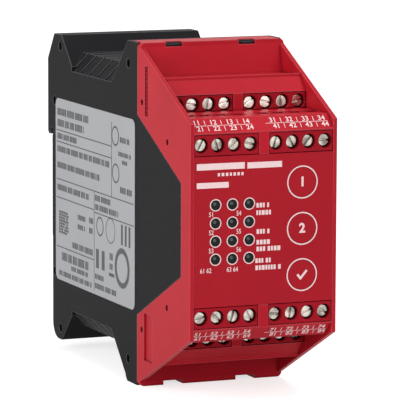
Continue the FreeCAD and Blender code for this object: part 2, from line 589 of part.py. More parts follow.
def make_light_guide():
    """One clear moulding: a web behind the panel, round lenses in its window and square pins behind."""
    web_front = "(%s - fit_gap)" % PANEL_BACK
    left, right, low, high = lamp_field("lamp_radius + lamp_web_edge")
    web = box("light_guide_web", (left, right), (web_front + " - lamp_web", web_front), (low, high))
    items = [web]
    for index, (x, z) in enumerate(lamp_places()):
        items.append(rod("light_guide_lens_%d" % index, x, z, "lamp_radius - 0.05",
                         (web_front + " - lamp_web / 2", "front_depth - 0.05")))
        items.append(box("light_guide_pin_%d" % index, (x + " - lamp_pin / 2", x + " + lamp_pin / 2"),
                         ("%s + led_thick + fit_gap" % FRONT_BOARD, web_front + " - lamp_web / 2"),
                         (z + " - lamp_pin / 2", z + " + lamp_pin / 2")))
    keep(join("light_guide_fuse", items), "light_guide")


# --- terminal rows --------------------------------------------------------------------------------------
# name, face depth, height of the screw axis, height of the ledge above it, upper (1) or lower (-1) half
ROWS = [("upper_rear", REAR_TERMINALS, "rear_row_z", REAR_STRIP_TOP, 1),
        ("upper_front", FRONT_TERMINALS, "front_row_z", STRIP_TOP, 1),
        ("lower_front", FRONT_TERMINALS, "front_row_z", STRIP_TOP, -1),
        ("lower_rear", REAR_TERMINALS, "rear_row_z", REAR_STRIP_TOP, -1)]
SIDES = [("left", "-"), ("right", "")]
SLOT_ANGLES = [52, 8, 96, 160, 28, 118, 71, 140, 14, 84, 170, 40, 105, 61, 132, 2]


def pole_x(pole):
    """Place of a pole from the middle of its block."""
    return "%.1f * pole_pitch" % (pole - 1.5)


def make_terminal_block(name, face, axis, ledge, half, sign):
    """Four-pole block: a turret that shows in the cover, screw wells, wire entries and cage pockets."""
    body = new_body(name)
    block_half = "((%s - %s) / 2 - face_inset / 2)" % (CHEEK_INNER, BLOCK_INNER)
    turret_side = "((%s - %s) / 2 - block_clear)" % (CHEEK_INNER, BLOCK_INNER)
    top = "(%s - cover_wall - %s - fit_gap)" % (ledge, axis)
    turret_low, turret_high = "-turret_half", "turret_half"
    if axis == "rear_row_z":
        turret_low = "%s - %s + block_clear" % (STRIP_TOP, axis)
        turret_high = "rear_strip_low - %s - block_clear" % axis
    turret = new_sketch(body, name + "_Turret", "XZ_Plane")
    draw_rectangle(turret, "-" + turret_side, turret_side, turret_low, turret_high)
    extrude(body, "Pad", turret, "turret_deep + 1", backwards=True)
    core = new_sketch(body, name + "_Core", "XZ_Plane", "-turret_deep")
    draw_rectangle(core, "-" + block_half, block_half, "-terminal_low", top)
    extrude(body, "Pad", core, "terminal_deep - turret_deep", backwards=True)
    wells = new_sketch(body, name + "_Wells", "XZ_Plane")
    for pole in range(4):
        draw_circle(wells, pole_x(pole), "0", "well_radius")
    extrude(body, "Pocket", wells, "cage_front")
    pockets = new_sketch(body, name + "_CagePockets", "XZ_Plane", "-cage_front + cage_gap")
    for pole in range(4):
        draw_rectangle(pockets, "%s - cage_width / 2 - cage_gap" % pole_x(pole),
                       "%s + cage_width / 2 + cage_gap" % pole_x(pole),
                       "-cage_low - cage_gap", "cage_high + cage_gap")
    extrude(body, "Pocket", pockets, "cage_rear - cage_front + 2 * cage_gap")
    mouth = new_sketch(body, name + "_Mouth", "XY_Plane", top + " - 0.5")
    draw_rectangle(mouth, "-mouth_wide / 2 + face_inset", "mouth_wide / 2 - face_inset",
                   "entry_deep - mouth_deep / 2 + face_inset", "entry_deep + mouth_deep / 2 - face_inset")
    extrude(body, "Pad", mouth, "0.5 + fit_gap + cover_wall - face_inset")
    entries = new_sketch(body, name + "_Entries", "XY_Plane", top + " + cover_wall + 1")
    for pole in range(4):
        draw_rectangle(entries, pole_x(pole) + " - entry_wide / 2", pole_x(pole) + " + entry_wide / 2",
                       "entry_deep - entry_long / 2", "entry_deep + entry_long / 2")
    extrude(body, "Pocket", entries, "1 + cover_wall + %s - cage_high" % top)
    slots = new_sketch(body, name + "_PinSlots", "XZ_Plane", "-bar_front + cage_gap")
    for pole in range(4):
        draw_rectangle(slots, "%s - bar_width / 2 - cage_gap" % pole_x(pole),
                       "%s + bar_width / 2 + cage_gap" % pole_x(pole),
                       "-tail_low - cage_gap", "-cage_low + cage_gap")
    extrude(body, "Pocket", slots, "terminal_deep - bar_front + 1")
    if half < 0:
        body.Placement = Placement(Vector(), Rotation(Vector(0, 1, 0), 180))
    bind(body, "Placement.Base.x", sign + BLOCK_CENTRE)
    bind(body, "Placement.Base.y", "-" + face)
    bind(body, "Placement.Base.z", "%s%s" % ("-" if half < 0 else "", axis))
    keep(body, name + "_terminal_block")


def make_screws(name, face, axis, half, sign, first_angle):
    """Four captive screws: slotted cylinder heads down in their wells, each turned its own way."""
    solids, slots = [], []
    z = "%s%s" % ("-" if half < 0 else "", axis)
    top = "(%s - screw_inset)" % face
    for pole in range(4):
        x = "%s%s + %s" % (sign, BLOCK_CENTRE, pole_x(pole))
        tag = "%s_screw_%d" % (name, pole)
        solids.append(rod(tag + "_head", x, z, "head_radius", (top + " - head_height", top)))
        solids.append(octagon_bar(tag + "_shank", x, z, "shank_radius",
                                  ("%s - bar_front + cage_gap" % face, top + " - head_height + 0.1")))
        slot = doc.addObject("Part::Box", tag + "_slot")
        angle = SLOT_ANGLES[(first_angle + pole) % len(SLOT_ANGLES)]
        turn = Rotation(Vector(0, 1, 0), angle)
        bind(slot, "Length", "2 * head_radius + 1")
        bind(slot, "Width", "slot_deep + 1")
        bind(slot, "Height", "slot_width")
        slot.Placement = Placement(Vector(), turn)
        half_length, half_slot = "(head_radius + 0.5)", "(slot_width / 2)"
        cosine, sine = "cos(%d deg)" % angle, "sin(%d deg)" % angle
        bind(slot, "Placement.Base.x", "%s - %s * %s - %s * %s" % (x, half_length, cosine, half_slot, sine))
        bind(slot, "Placement.Base.y", "-(%s + 1)" % top)
        bind(slot, "Placement.Base.z", "%s + %s * %s - %s * %s" % (z, half_length, sine, half_slot, cosine))
        slots.append(slot)
    blanks = join(name + "_screw_blanks", solids)
    keep(cut(name + "_slotted", blanks, group(name + "_slots", slots)), name + "_terminal_screws")


def make_clamps(name, face, axis, half):
    """The eight steel clamp cages of a row, each threaded on its screw."""
    shells, insides, threads = [], [], []
    low, high = ("cage_low", "cage_high") if half > 0 else ("cage_high", "cage_low")
    z = "%s%s" % ("-" if half < 0 else "", axis)
    for side_name, sign in SIDES:
        for pole in range(4):
            x = "%s%s + %s" % (sign, BLOCK_CENTRE, pole_x(pole))
            tag = "%s_%s_cage_%d" % (name, side_name, pole)
            shells.append(box(tag, (x + " - cage_width / 2", x + " + cage_width / 2"),
                              (face + " - cage_rear", face + " - cage_front"),
                              ("%s - %s" % (z, low), "%s + %s" % (z, high))))
            insides.append(box(tag + "_inside", (x + " - cage_width / 2 + cage_side",
                                                 x + " + cage_width / 2 - cage_side"),
                               (face + " - cage_rear + cage_wall", face + " - cage_front - cage_wall"),
                               ("%s - %s - 1" % (z, low), "%s + %s + 1" % (z, high))))
            threads.append(octagon_bar(tag + "_thread", x, z, "shank_radius + thread_gap",
                                       (face + " - cage_front - cage_wall - 0.5",
                                        face + " - cage_front + 0.5")))
    hollow = cut(name + "_cages_open", group(name + "_cages", shells), group(name + "_insides", insides))
    keep(cut(name + "_cages_threaded", hollow, group(name + "_threads", threads)), name + "_clamp_cages")


def contact_pin(tag, x, z, face, half):
    """L-shaped contact: a bar in the cage and a tail through the board behind."""
    up = (lambda low, high: ("%s + %s" % (z, low), "%s + %s" % (z, high))) if half > 0 else (
        lambda low, high: ("%s - %s" % (z, high), "%s - %s" % (z, low)))
    across = (x + " - bar_width / 2", x + " + bar_width / 2")
    bar = box(tag + "_bar", across, (face + " - bar_front - bar_thick", face + " - bar_front"),
              up("(-tail_low)", "bar_high"))
    tail = box(tag + "_tail", across,
               (face + " - terminal_deep - board_thick - tail_out", face + " - bar_front - bar_thick + 0.1"),
               up("(-tail_low)", "(-tail_low + bar_thick)"))
    return [bar, tail]


def make_contact_pins(name, face, axis, half):
    """The eight contacts of a row and the square holes that their tails need in the board."""
    bars, holes = [], []
    z = "%s%s" % ("-" if half < 0 else "", axis)
    for side_name, sign in SIDES:
        for pole in range(4):
            x = "%s%s + %s" % (sign, BLOCK_CENTRE, pole_x(pole))
            tag = "%s_%s_pin_%d" % (name, side_name, pole)
            bars += contact_pin(tag, x, z, face, half)
            middle = "(%s %s (tail_low - bar_thick / 2))" % (z, "-" if half > 0 else "+")
            holes.append(box(tag + "_hole", (x + " - bar_width / 2 - cage_gap",
                                             x + " + bar_width / 2 + cage_gap"),
                             (face + " - terminal_deep - board_thick - 1", face + " - terminal_deep + 1"),
                             (middle + " - bar_thick / 2 - cage_gap", middle + " + bar_thick / 2 + cage_gap")))
    keep(join(name + "_contacts", bars), name + "_contact_pins")
    return holes


def make_terminal_rows():
    """All four rows, and the pin holes of the two boards behind them."""
    holes = {"upper_rear": [], "upper_front": []}
    for row, (name, face, axis, ledge, half) in enumerate(ROWS):
        for column, (side_name, sign) in enumerate(SIDES):
            full_name = "%s_%s" % (name, side_name)
            make_terminal_block(full_name, face, axis, ledge, half, sign)
            make_screws(full_name, face, axis, half, sign, 5 * row + 7 * column)
        make_clamps(name, face, axis, half)
        holes["upper_rear" if "rear" in name else "upper_front"] += make_contact_pins(name, face, axis, half)
    return holes


# --- boards and what they carry -------------------------------------------------------------------------
def make_boards(holes):
    """Front board, terminal board and the two main boards."""
    half = "(%s - board_gap)" % CHEEK_INNER
    front = box("front_board_blank", ("-" + half, half), (FRONT_BOARD + " - board_thick", FRONT_BOARD),
                ("-front_board_half", "front_board_half"))
    keep(cut("front_board_cut", front, group("front_board_holes", holes["upper_front"])), "front_board")
    tall = "(%s - cover_wall - board_gap)" % REAR_STRIP_TOP
    rear = box("terminal_board_blank", ("-" + half, half),
               (TERMINAL_BOARD + " - board_thick", TERMINAL_BOARD), ("-" + tall, tall))
    keep(cut("terminal_board_cut", rear, group("terminal_board_holes", holes["upper_rear"])),
         "terminal_board")
    depths = ("cavity_rear + board_gap", TERMINAL_BOARD + " - board_thick - tail_out - board_gap")
    outer = "(%s + board_thick)" % BOARD_INNER
    heights = ("-main_board_half", "main_board_half")
    keep(box("left_board", ("-" + outer, "-" + BOARD_INNER), depths, heights), "left_main_board")
    keep(box("right_board", (BOARD_INNER, outer), depths, heights), "right_main_board")


def make_front_board_parts():
    """Indicator diodes and key switches on the front board."""
    half_led = "led_size / 2"
    leds = [box("led_%d" % index, ("%s - %s" % (x, half_led), "%s + %s" % (x, half_led)),
                (FRONT_BOARD, FRONT_BOARD + " + led_thick"),
                ("%s - %s" % (z, half_led), "%s + %s" % (z, half_led)))
            for index, (x, z) in enumerate(lamp_places())]
    keep(group("led_group", leds), "indicator_leds")
    bodies, wells = [], []
    for index, z in enumerate(key_places()):
        bodies.append(box("switch_%d" % index, ("key_x - switch_size / 2", "key_x + switch_size / 2"),
                          (FRONT_BOARD, FRONT_BOARD + " + switch_thick"),
                          (z + " - switch_size / 2", z + " + switch_size / 2")))
        wells.append(rod("switch_well_%d" % index, "key_x", z, "plunger_radius + fit_gap",
                         (FRONT_BOARD + " + switch_thick - plunger_in - key_travel - fit_gap",
                          FRONT_BOARD + " + switch_thick + 1")))
    keep(cut("switch_group", group("switch_bodies", bodies), group("switch_wells", wells)), "key_switches")


def make_relays():
    """Four sealed forced-guided relays on the left main board, two by two."""
    number = 0
    for row in range(2):
        for sign in ("", "-"):
            number += 1
            near = "(relay_first + %d * relay_space)" % row
            blank = box("relay_case_%d" % number, ("-" + BOARD_INNER, "-%s + relay_tall" % BOARD_INNER),
                        (near, near + " + relay_wide"),
                        ("%srelay_centre - relay_long / 2" % sign, "%srelay_centre + relay_long / 2" % sign))
            doc.recompute()
            case = doc.addObject("Part::Chamfer", "relay_chamfer_%d" % number)
            case.Base = blank
            top = blank.Shape.BoundBox.XMax
            edge = size_of("relay_edge")
            case.Edges = [(index + 1, edge, edge) for index, line in enumerate(blank.Shape.Edges)
                          if abs(line.CenterOfMass.x - top) < 0.01]
            keep(case, "relay_%d" % number)


def make_right_board_parts():
    """Processors, input couplers, converter, inductor and capacitors on the right main board."""
    face = BOARD_INNER
    chips = [box("chip_%d" % index, (face + " - chip_thick", face),
                 ("chip_depth - chip_size / 2", "chip_depth + chip_size / 2"),
                 ("%schip_centre - chip_size / 2" % sign, "%schip_centre + chip_size / 2" % sign))
             for index, sign in enumerate(("", "-"))]
    keep(group("chip_group", chips), "processor_chips")
    couplers = []
    for index in range(int(size_of("coupler_count"))):
        z = "((%d - (coupler_count - 1) / 2) * coupler_pitch)" % index
        couplers.append(box("coupler_%d" % index, (face + " - coupler_tall", face),
                            ("coupler_depth - coupler_wide / 2", "coupler_depth + coupler_wide / 2"),
                            (z + " - coupler_long / 2", z + " + coupler_long / 2")))
    keep(group("coupler_group", couplers), "input_optocouplers")
    cans = []
    for index in range(3):
        can = doc.addObject("Part::Cylinder", "capacitor_%d" % index)
        can.Placement = Placement(Vector(), Rotation(Vector(0, 1, 0), -90))
        bind(can, "Radius", "capacitor_radius")
        bind(can, "Height", "capacitor_tall")
        bind(can, "Placement.Base.x", face)
        bind(can, "Placement.Base.y", "-capacitor_depth")
        bind(can, "Placement.Base.z", "%d * capacitor_pitch" % (index - 1))
        cans.append(can)
    keep(group("capacitor_group", cans), "electrolytic_capacitors")
    keep(box("inductor_core", (face + " - inductor_tall", face),
             ("inductor_depth - inductor_size / 2", "inductor_depth + inductor_size / 2"),
             ("-inductor_size / 2", "inductor_size / 2")), "power_inductor")
    keep(box("converter_case", (face + " - converter_tall", face),
             ("converter_depth - converter_wide / 2", "converter_depth + converter_wide / 2"),
             ("-converter_long / 2", "converter_long / 2")), "dc_converter")


def make_board_connectors():
    """Pin strips between the boards."""
    for name, sign in (("upper", ""), ("lower", "-")):
        centre = "%slink_centre" % sign
        keep(box(name + "_link", ("-link_long / 2", "link_long / 2"),
                 (TERMINAL_BOARD, FRONT_BOARD + " - board_thick"),
                 (centre + " - link_wide / 2", centre + " + link_wide / 2")), name + "_board_connector")
    back = TERMINAL_BOARD + " - board_thick"
    for name, limits in (("left", ("-" + BOARD_INNER, "-%s + side_link_wide" % BOARD_INNER)),
                         ("right", (BOARD_INNER + " - side_link_wide", BOARD_INNER))):
        keep(box(name + "_link", limits, (back + " - side_link_deep", back),
                 ("-side_link_long / 2", "side_link_long / 2")), name + "_board_connector")


# --- side label -----------------------------------------------------------------------------------------
def make_rating_label():
    """Thin printed label with rounded corners on the left side of the housing."""
    body = new_body("rating_label")
    face = new_sketch(body, "LabelOutline", "YZ_Plane", "-module_width / 2")
    draw_rectangle(face, "-label_front", "-label_rear", "label_bottom", "label_top")
    extrude(body, "Pad", face, "label_thick", backwards=True)
    round_edges(body, "LabelCorners", "label_corner", lambda edge: runs_along(edge, Vector(1, 0, 0)))
    keep(body, "rating_label")


# --- rail latch -----------------------------------------------------------------------------------------
def make_din_latch():
    """Sliding foot: a T-section slide in the housing's channel with a hook behind the rail's lower edge."""
    body = new_body("din_latch")
    section = new_sketch(body, "LatchSection", "XY_Plane", "latch_bottom")
    back = "-slide_gap"
    draw_polygon(section, [("-latch_neck / 2", back), ("-latch_neck / 2", "-latch_neck_deep"),
                           ("-latch_width / 2", "-latch_neck_deep"), ("-latch_width / 2", "-latch_deep"),
                           ("latch_width / 2", "-latch_deep"), ("latch_width / 2", "-latch_neck_deep"),
                           ("latch_neck / 2", "-latch_neck_deep"), ("latch_neck / 2", back)])
    extrude(body, "Pad", section, "latch_top - latch_bottom")
    hook = new_sketch(body, "LatchHook", "YZ_Plane")
    stop = "-" + LATCH_STOP
    draw_polygon(hook, [("-slide_gap - 0.5", stop), ("flange_slot", stop),
                        ("flange_slot", stop + " + latch_overlap"),
                        ("flange_slot + 0.4", stop + " + latch_overlap"),
                        ("flange_slot + latch_lip", stop), ("flange_slot + latch_lip", "latch_hook_root"),
                        ("-slide_gap - 0.5", "latch_hook_low")])
    extrude(body, "Pad", hook, "latch_neck", symmetric=True)
    openings = new_sketch(body, "LatchOpenings", "XZ_Plane", "latch_deep + 1")
    draw_rectangle(openings, "-window_half", "window_half", "window_bottom", "window_top")
    draw_rectangle(openings, "-pull_slot_half", "pull_slot_half", "pull_slot_low", "pull_slot_high")
    extrude(body, "Pocket", openings, "latch_deep + 2 + hook_reach")
    keep(body, "din_latch")


def make_latch_spring():
    """Square-wire compression spring between the housing's post and the top of the latch's window."""
    wire = size_of("spring_wire")
    radius = size_of("spring_radius")
    low = size_of("post_top") + wire / 2 + 0.05
    high = size_of("window_top") - wire / 2 - 0.05
    turns = int(size_of("spring_turns"))
    centre_depth = size_of("latch_deep") / 2 + size_of("slide_gap") / 2
    helix = Part.makeHelix((high - low) / turns, high - low, radius)
    square = Part.makePolygon([Vector(radius + dx * wire / 2, 0, dz * wire / 2)
                               for dx, dz in ((-1, -1), (1, -1), (1, 1), (-1, 1), (-1, -1))])
    coil = Part.Wire(helix.Edges).makePipeShell([square], True, True)
    piece = doc.addObject("Part::Feature", "latch_spring_coil")
    piece.Shape = coil
    piece.Placement = Placement(Vector(0, -centre_depth, low), Rotation())
    keep(piece, "latch_spring")


# --- build, check and write -----------------------------------------------------------------------------
make_rear_housing()
make_front_cover()
make_front_foil()
for key_name, key_z in zip(("upper_key", "middle_key", "lower_key"), key_places()):
    make_key(key_name, key_z)
make_light_guide()
board_holes = make_terminal_rows()
make_boards(board_holes)
make_front_board_parts()
make_relays()
make_right_board_parts()
make_board_connectors()
make_rating_label()
make_din_latch()
make_latch_spring()
doc.recompute()

for item in doc.Objects:
    if "Invalid" in item.State or "Error" in item.State:
        raise RuntimeError("%s failed: %s" % (item.Name, item.State))
for piece in PARTS:
    if piece.Shape.isNull() or not piece.Shape.isValid():
        raise RuntimeError("%s has no valid shape" % piece.Label)

os.makedirs("parts", exist_ok=True)
for piece in PARTS:
    piece.Shape.exportStep(os.path.join("parts", piece.Label + ".step"))
print("%d nodes written" % len(PARTS))
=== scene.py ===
import math

import bmesh
import bpy
import numpy as np
from mathutils import Matrix, Vector


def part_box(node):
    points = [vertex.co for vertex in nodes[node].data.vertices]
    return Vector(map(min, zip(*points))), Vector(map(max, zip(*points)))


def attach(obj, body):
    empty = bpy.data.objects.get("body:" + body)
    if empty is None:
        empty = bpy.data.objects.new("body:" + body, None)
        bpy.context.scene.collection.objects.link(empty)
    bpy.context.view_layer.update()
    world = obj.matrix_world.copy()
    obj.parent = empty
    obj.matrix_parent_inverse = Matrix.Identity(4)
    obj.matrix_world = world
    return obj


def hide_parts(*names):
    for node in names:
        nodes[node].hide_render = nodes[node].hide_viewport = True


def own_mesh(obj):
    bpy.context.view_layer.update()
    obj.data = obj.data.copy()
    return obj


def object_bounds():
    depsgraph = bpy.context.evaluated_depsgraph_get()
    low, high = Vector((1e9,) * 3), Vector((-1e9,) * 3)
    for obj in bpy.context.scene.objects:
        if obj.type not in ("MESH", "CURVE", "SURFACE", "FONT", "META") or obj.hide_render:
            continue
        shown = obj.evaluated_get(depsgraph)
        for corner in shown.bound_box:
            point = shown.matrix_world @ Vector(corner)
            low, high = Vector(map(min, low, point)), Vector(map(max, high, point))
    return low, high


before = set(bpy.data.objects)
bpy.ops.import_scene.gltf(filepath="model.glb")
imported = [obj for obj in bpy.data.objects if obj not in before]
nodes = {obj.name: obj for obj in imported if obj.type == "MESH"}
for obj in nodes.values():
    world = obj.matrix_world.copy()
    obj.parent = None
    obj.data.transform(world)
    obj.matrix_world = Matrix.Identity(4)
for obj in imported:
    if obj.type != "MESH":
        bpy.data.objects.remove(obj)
cad_low, cad_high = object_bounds()

# --- Rear housing ---------------------------------------------------------------------------------------
# Black glass-filled polyamide, injection moulded in a spark-eroded tool. It is the shell that clips on
# the rail; its edges are broken by the small radii that every moulding has.
MM = 0.001
HOUSING_BLACK = "#1E1D1F"
# The pale grey is a painted highlight for the housing's outer edges.
HOUSING_EDGE_HIGHLIGHT = "#848487"
MOULD_RADIUS = 0.3 * MM
# The eroded grain is drawn coarser than the real one, so that it shows.
HOUSING_GRAIN = 0.55 * MM
GRAIN_DEPTH = 0.02 * MM
DRIFT_SIZE = 16.667 * MM
CORNER_REACH = 1.2 * MM


def linear(hex_colour):
    """sRGB hex to linear RGBA: c / 12.92 below 0.04045, else ((c + 0.055) / 1.055) to the power 2.4."""
    srgb = np.array([int(hex_colour[i:i + 2], 16) for i in (1, 3, 5)]) / 255
    rgb = np.where(srgb < 0.04045, srgb / 12.92, ((srgb + 0.055) / 1.055) ** 2.4)
    return (*rgb.tolist(), 1.0)


def add_node(owner, kind, settings=None, links=None):
    """Adds a node to a material or a world: settings are sockets, by name or number, or properties, and
    links lead from other nodes' outputs to its inputs."""
    node = owner.node_tree.nodes.new(kind)
    for name, value in (settings or {}).items():
        if isinstance(name, int) or name in node.inputs:
            node.inputs[name].default_value = value
        else:
            setattr(node, name, value)
    for name, output in (links or {}).items():
        owner.node_tree.links.new(output, node.inputs[name])
    return node


def new_material(name):
    """A material with an empty tree, whose output node is added last."""
    material = bpy.data.materials.new(name)
    material.use_nodes = True
    material.node_tree.nodes.clear()
    return material


def moulded_plastic(name, colour, grain, roughness, bump=0.12, spread=0.06, level=0.5, radius=0.1 * MM,
                    edge_highlight="#808080", edge_highlight_strength=0.0):
    """A moulded plastic: fine eroded grain as bump and gloss over rounded edges, a slow drift of tone, a
    paler painted highlight on outer edges, where the rounded normal turns away from the flat one, and painted
    shade, a darker tone, in inner corners, where little light reaches."""
    material = new_material(name)
    place = add_node(material, "ShaderNodeTexCoord").outputs["Object"]
    fine = add_node(material, "ShaderNodeTexNoise",
                    {"Scale": 1 / grain, "Detail": 3.0, "Roughness": 0.6}, {"Vector": place})
    slow = add_node(material, "ShaderNodeTexNoise",
                    {"Scale": 1 / DRIFT_SIZE, "Detail": 2.0, "Roughness": 0.5}, {"Vector": place})
    tone = add_node(material, "ShaderNodeMapRange",
                    {"From Min": 0.3, "From Max": 0.7, "To Min": 1 - spread, "To Max": 1 + spread},
                    {"Value": slow.outputs[0]})
    tint = add_node(material, "ShaderNodeVectorMath",
                    {"operation": "MULTIPLY", 0: linear(colour)[:3]}, {1: tone.outputs["Result"]})
    gloss = add_node(material, "ShaderNodeMapRange",
                     {"From Min": 0.3, "From Max": 0.7,
                      "To Min": roughness - 0.05, "To Max": roughness + 0.05},
                     {"Value": fine.outputs[0]})
    edge = add_node(material, "ShaderNodeBevel", {"samples": 6, "Radius": radius})
    relief = add_node(material, "ShaderNodeBump", {"Strength": bump, "Distance": GRAIN_DEPTH},
                      {"Height": fine.outputs[0], "Normal": edge.outputs["Normal"]})
    flat = add_node(material, "ShaderNodeNewGeometry").outputs["True Normal"]
    turned = add_node(material, "ShaderNodeVectorMath", {"operation": "DOT_PRODUCT"},
                      {0: edge.outputs["Normal"], 1: flat})
    # The painted highlight sets in where the two normals part by more than a few degrees, and only where air
    # is open.
    edge_highlight_mask = add_node(material, "ShaderNodeMapRange",
                    {"From Min": 0.995, "From Max": 0.93, "To Min": 0.0, "To Max": edge_highlight_strength},
                    {"Value": turned.outputs["Value"]})
    open_air = add_node(material, "ShaderNodeAmbientOcclusion", {"samples": 8, "Distance": CORNER_REACH})
    outer = add_node(material, "ShaderNodeMapRange", {"From Min": 0.7, "From Max": 0.95},
                     {"Value": open_air.outputs["AO"]})
    edge_highlight_share = add_node(material, "ShaderNodeMath", {"operation": "MULTIPLY"},
                      {0: edge_highlight_mask.outputs["Result"], 1: outer.outputs["Result"]})
    # Painted shade: the colour darkens towards inner corners, where the occlusion test finds little open air.
    depth = add_node(material, "ShaderNodeMapRange",
                     {"From Min": 0.3, "From Max": 0.9, "To Min": 0.45, "To Max": 1.0},
                     {"Value": open_air.outputs["AO"]})
    deep = add_node(material, "ShaderNodeVectorMath", {"operation": "SCALE"},
                    {0: tint.outputs["Vector"], "Scale": depth.outputs["Result"]})
    shade = add_node(material, "ShaderNodeMix", {"data_type": "RGBA", 7: linear(edge_highlight)},
                     {0: edge_highlight_share.outputs["Value"], 6: deep.outputs["Vector"]})
    shader = add_node(material, "ShaderNodeBsdfPrincipled", {"IOR": 1.5, "Specular IOR Level": level},
                      {"Base Color": shade.outputs[2], "Roughness": gloss.outputs["Result"],
                       "Normal": relief.outputs["Normal"]})
    add_node(material, "ShaderNodeOutputMaterial", links={"Surface": shader.outputs["BSDF"]})
    return material


def dress_nodes(names, material):
    """Gives CAD solids that keep their shape the material of their real finish."""
    for name in names:
        nodes[name].data.materials[0] = material


# A matt spark-eroded skin: nearly black, with little shine, and a grey painted highlight along its outer
# edges.
housing_plastic = moulded_plastic("moulded_black_polyamide", HOUSING_BLACK, HOUSING_GRAIN, 0.52, level=0.03,
                                  radius=MOULD_RADIUS, edge_highlight=HOUSING_EDGE_HIGHLIGHT, edge_highlight_strength=0.75)
dress_nodes(["rear_housing"], housing_plastic)

# --- Front cover ----------------------------------------------------------------------------------------
# Red polycarbonate moulding that closes the housing from the front: two steps for terminals above and
# two below, sloping strips for the terminal numbers, and cheeks at both sides.
COVER_RED = "#B91E2C"
# The pink is a painted highlight for the cover's outer edges.
COVER_EDGE_HIGHLIGHT = "#E5828A"
# The beads' darker red is painted shade for their sunk slot.
BEAD_SHADED_RED = "#8E1422"
COVER_GRAIN = 0.4 * MM
# Its finer grain shines a little more, and a pink painted highlight runs along its outer edges.
cover_plastic = moulded_plastic("moulded_red_polycarbonate", COVER_RED, COVER_GRAIN, 0.42, bump=0.06,
                                level=0.06, radius=MOULD_RADIUS, edge_highlight=COVER_EDGE_HIGHLIGHT, edge_highlight_strength=0.45)
dress_nodes(["front_cover"], cover_plastic)

cover_low, cover_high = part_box("front_cover")
# The cheeks' slots and holes are this much sunk; pairs are (depth from the rail face, height).
CHEEK_SINK = 0.5 * MM
SLOT_LOW = np.array([76.1, 29.1]) * MM
SLOT_HIGH = np.array([78.5, 43.3]) * MM
BEAD_PITCH = 1.18 * MM
BEAD_RISE = 0.42 * MM
BEAD_LIFT = 0.01 * MM
CHEEK_HOLES = np.array([(73.8, 32.8), (73.8, -32.8), (93.0, 23.5), (93.0, -23.5)]) * MM
HOLE_RADIUS = 0.93 * MM
HOLE_LIFT = 0.02 * MM


def finish_piece(piece, material, body):
    """Gives a piece its only material and the body that it rides on."""
    piece.data.materials.clear()
    piece.data.materials.append(material)
    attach(piece, body)
    return piece


def mesh_piece(name, points, faces, material, body="module", smooth=False):
    """A piece from an array of points and rows of corners, one row a face, already in place."""
    mesh = bpy.data.meshes.new(name)
    mesh.from_pydata(points.tolist(), [], [np.asarray(face).tolist() for face in faces])
    mesh.validate()
    mesh.update()
    mesh.polygons.foreach_set("use_smooth", [smooth] * len(mesh.polygons))
    piece = bpy.data.objects.new(name, mesh)
    bpy.context.scene.collection.objects.link(piece)
    return finish_piece(piece, material, body)


def grid_faces(rows, columns, first=0, close=False):
    """Quads of a grid of points: corner (i, j), (i, j+1), (i+1, j+1), (i+1, j); close joins the ends."""
    i, j = np.meshgrid(np.arange(rows - 1), np.arange(columns if close else columns - 1), indexing="ij")
    right = (j + 1) % columns
    near, far = i * columns, (i + 1) * columns
    return first + np.stack([near + j, near + right, far + right, far + j], -1).reshape(-1, 4)


def bead_row(name, side, material, across=9, along=145):
    """A row of round beads on the floor of the cheek's slot. At a share u of its depth and a height h above
    its lower end the surface stands proud by rise times sqrt(|sin(pi h / pitch)|) times 1 - (2u - 1)^4."""
    u, v = np.meshgrid(np.linspace(0, 1, across), np.linspace(0, 1, along), indexing="ij")
    depth = SLOT_LOW[0] + (SLOT_HIGH[0] - SLOT_LOW[0]) * u
    height = SLOT_LOW[1] + (SLOT_HIGH[1] - SLOT_LOW[1]) * v
    beads = np.sqrt(np.abs(np.sin(np.pi * (height - SLOT_LOW[1]) / BEAD_PITCH)))
    rise = BEAD_RISE * beads * (1 - (2 * u - 1) ** 4)
    out = cover_high.x - CHEEK_SINK + BEAD_LIFT + rise
    points = np.stack([side * out, -depth, height], -1).reshape(-1, 3)
    faces = grid_faces(across, along)
    return mesh_piece(name, points, faces if side < 0 else faces[:, ::-1], material, smooth=True)


def hole_shade_discs(name, side, places, radius, material, corners=24):
    """Discs that close small round holes, painted shade for their dark inside: corners at (depth + r cos t,
    height + r sin t), one face each.
    """
    turn = np.linspace(0, 2 * np.pi, corners, endpoint=False)
    along = -places[:, :1] + radius * np.cos(turn)
    height = places[:, 1:] + radius * np.sin(turn)
    out = np.full_like(height, side * (cover_high.x - CHEEK_SINK + HOLE_LIFT))
    faces = np.arange(height.size).reshape(height.shape)
    points = np.stack([out, along, height], -1).reshape(-1, 3)
    return mesh_piece(name, points, faces if side > 0 else faces[:, ::-1], material)


# The beads get a darker red, painted shade for the little light that reaches into the slot, and black discs
# close the small holes, painted shade for their dark inside.
bead_plastic = moulded_plastic("shaded_red_polycarbonate", BEAD_SHADED_RED, COVER_GRAIN, 0.5, bump=0.06, level=0.06)
for side, name in ((-1, "left"), (1, "right")):
    bead_row(name + "_cheek_beads", side, bead_plastic)
    hole_shade_discs(name + "_cheek_hole_shade", side, CHEEK_HOLES, HOLE_RADIUS, housing_plastic)

# --- Terminal blocks ------------------------------------------------------------------------------------
# Four-pole blocks of the same red, a shade deeper, pushed into the cover from behind. Each pole has a
# round well for its screw and a square mouth for its wire.
BLOCK_RED = "#A01624"
BLOCK_RADIUS = 0.12 * MM
block_plastic = moulded_plastic("moulded_red_polyamide", BLOCK_RED, COVER_GRAIN, 0.46, bump=0.06,
                                level=0.06, radius=BLOCK_RADIUS)
ROWS = ("upper_rear", "upper_front", "lower_front", "lower_rear")
BLOCKS = [f"{row}_{side}" for row in ROWS for side in ("left", "right")]
dress_nodes([block + "_terminal_block" for block in BLOCKS], block_plastic)

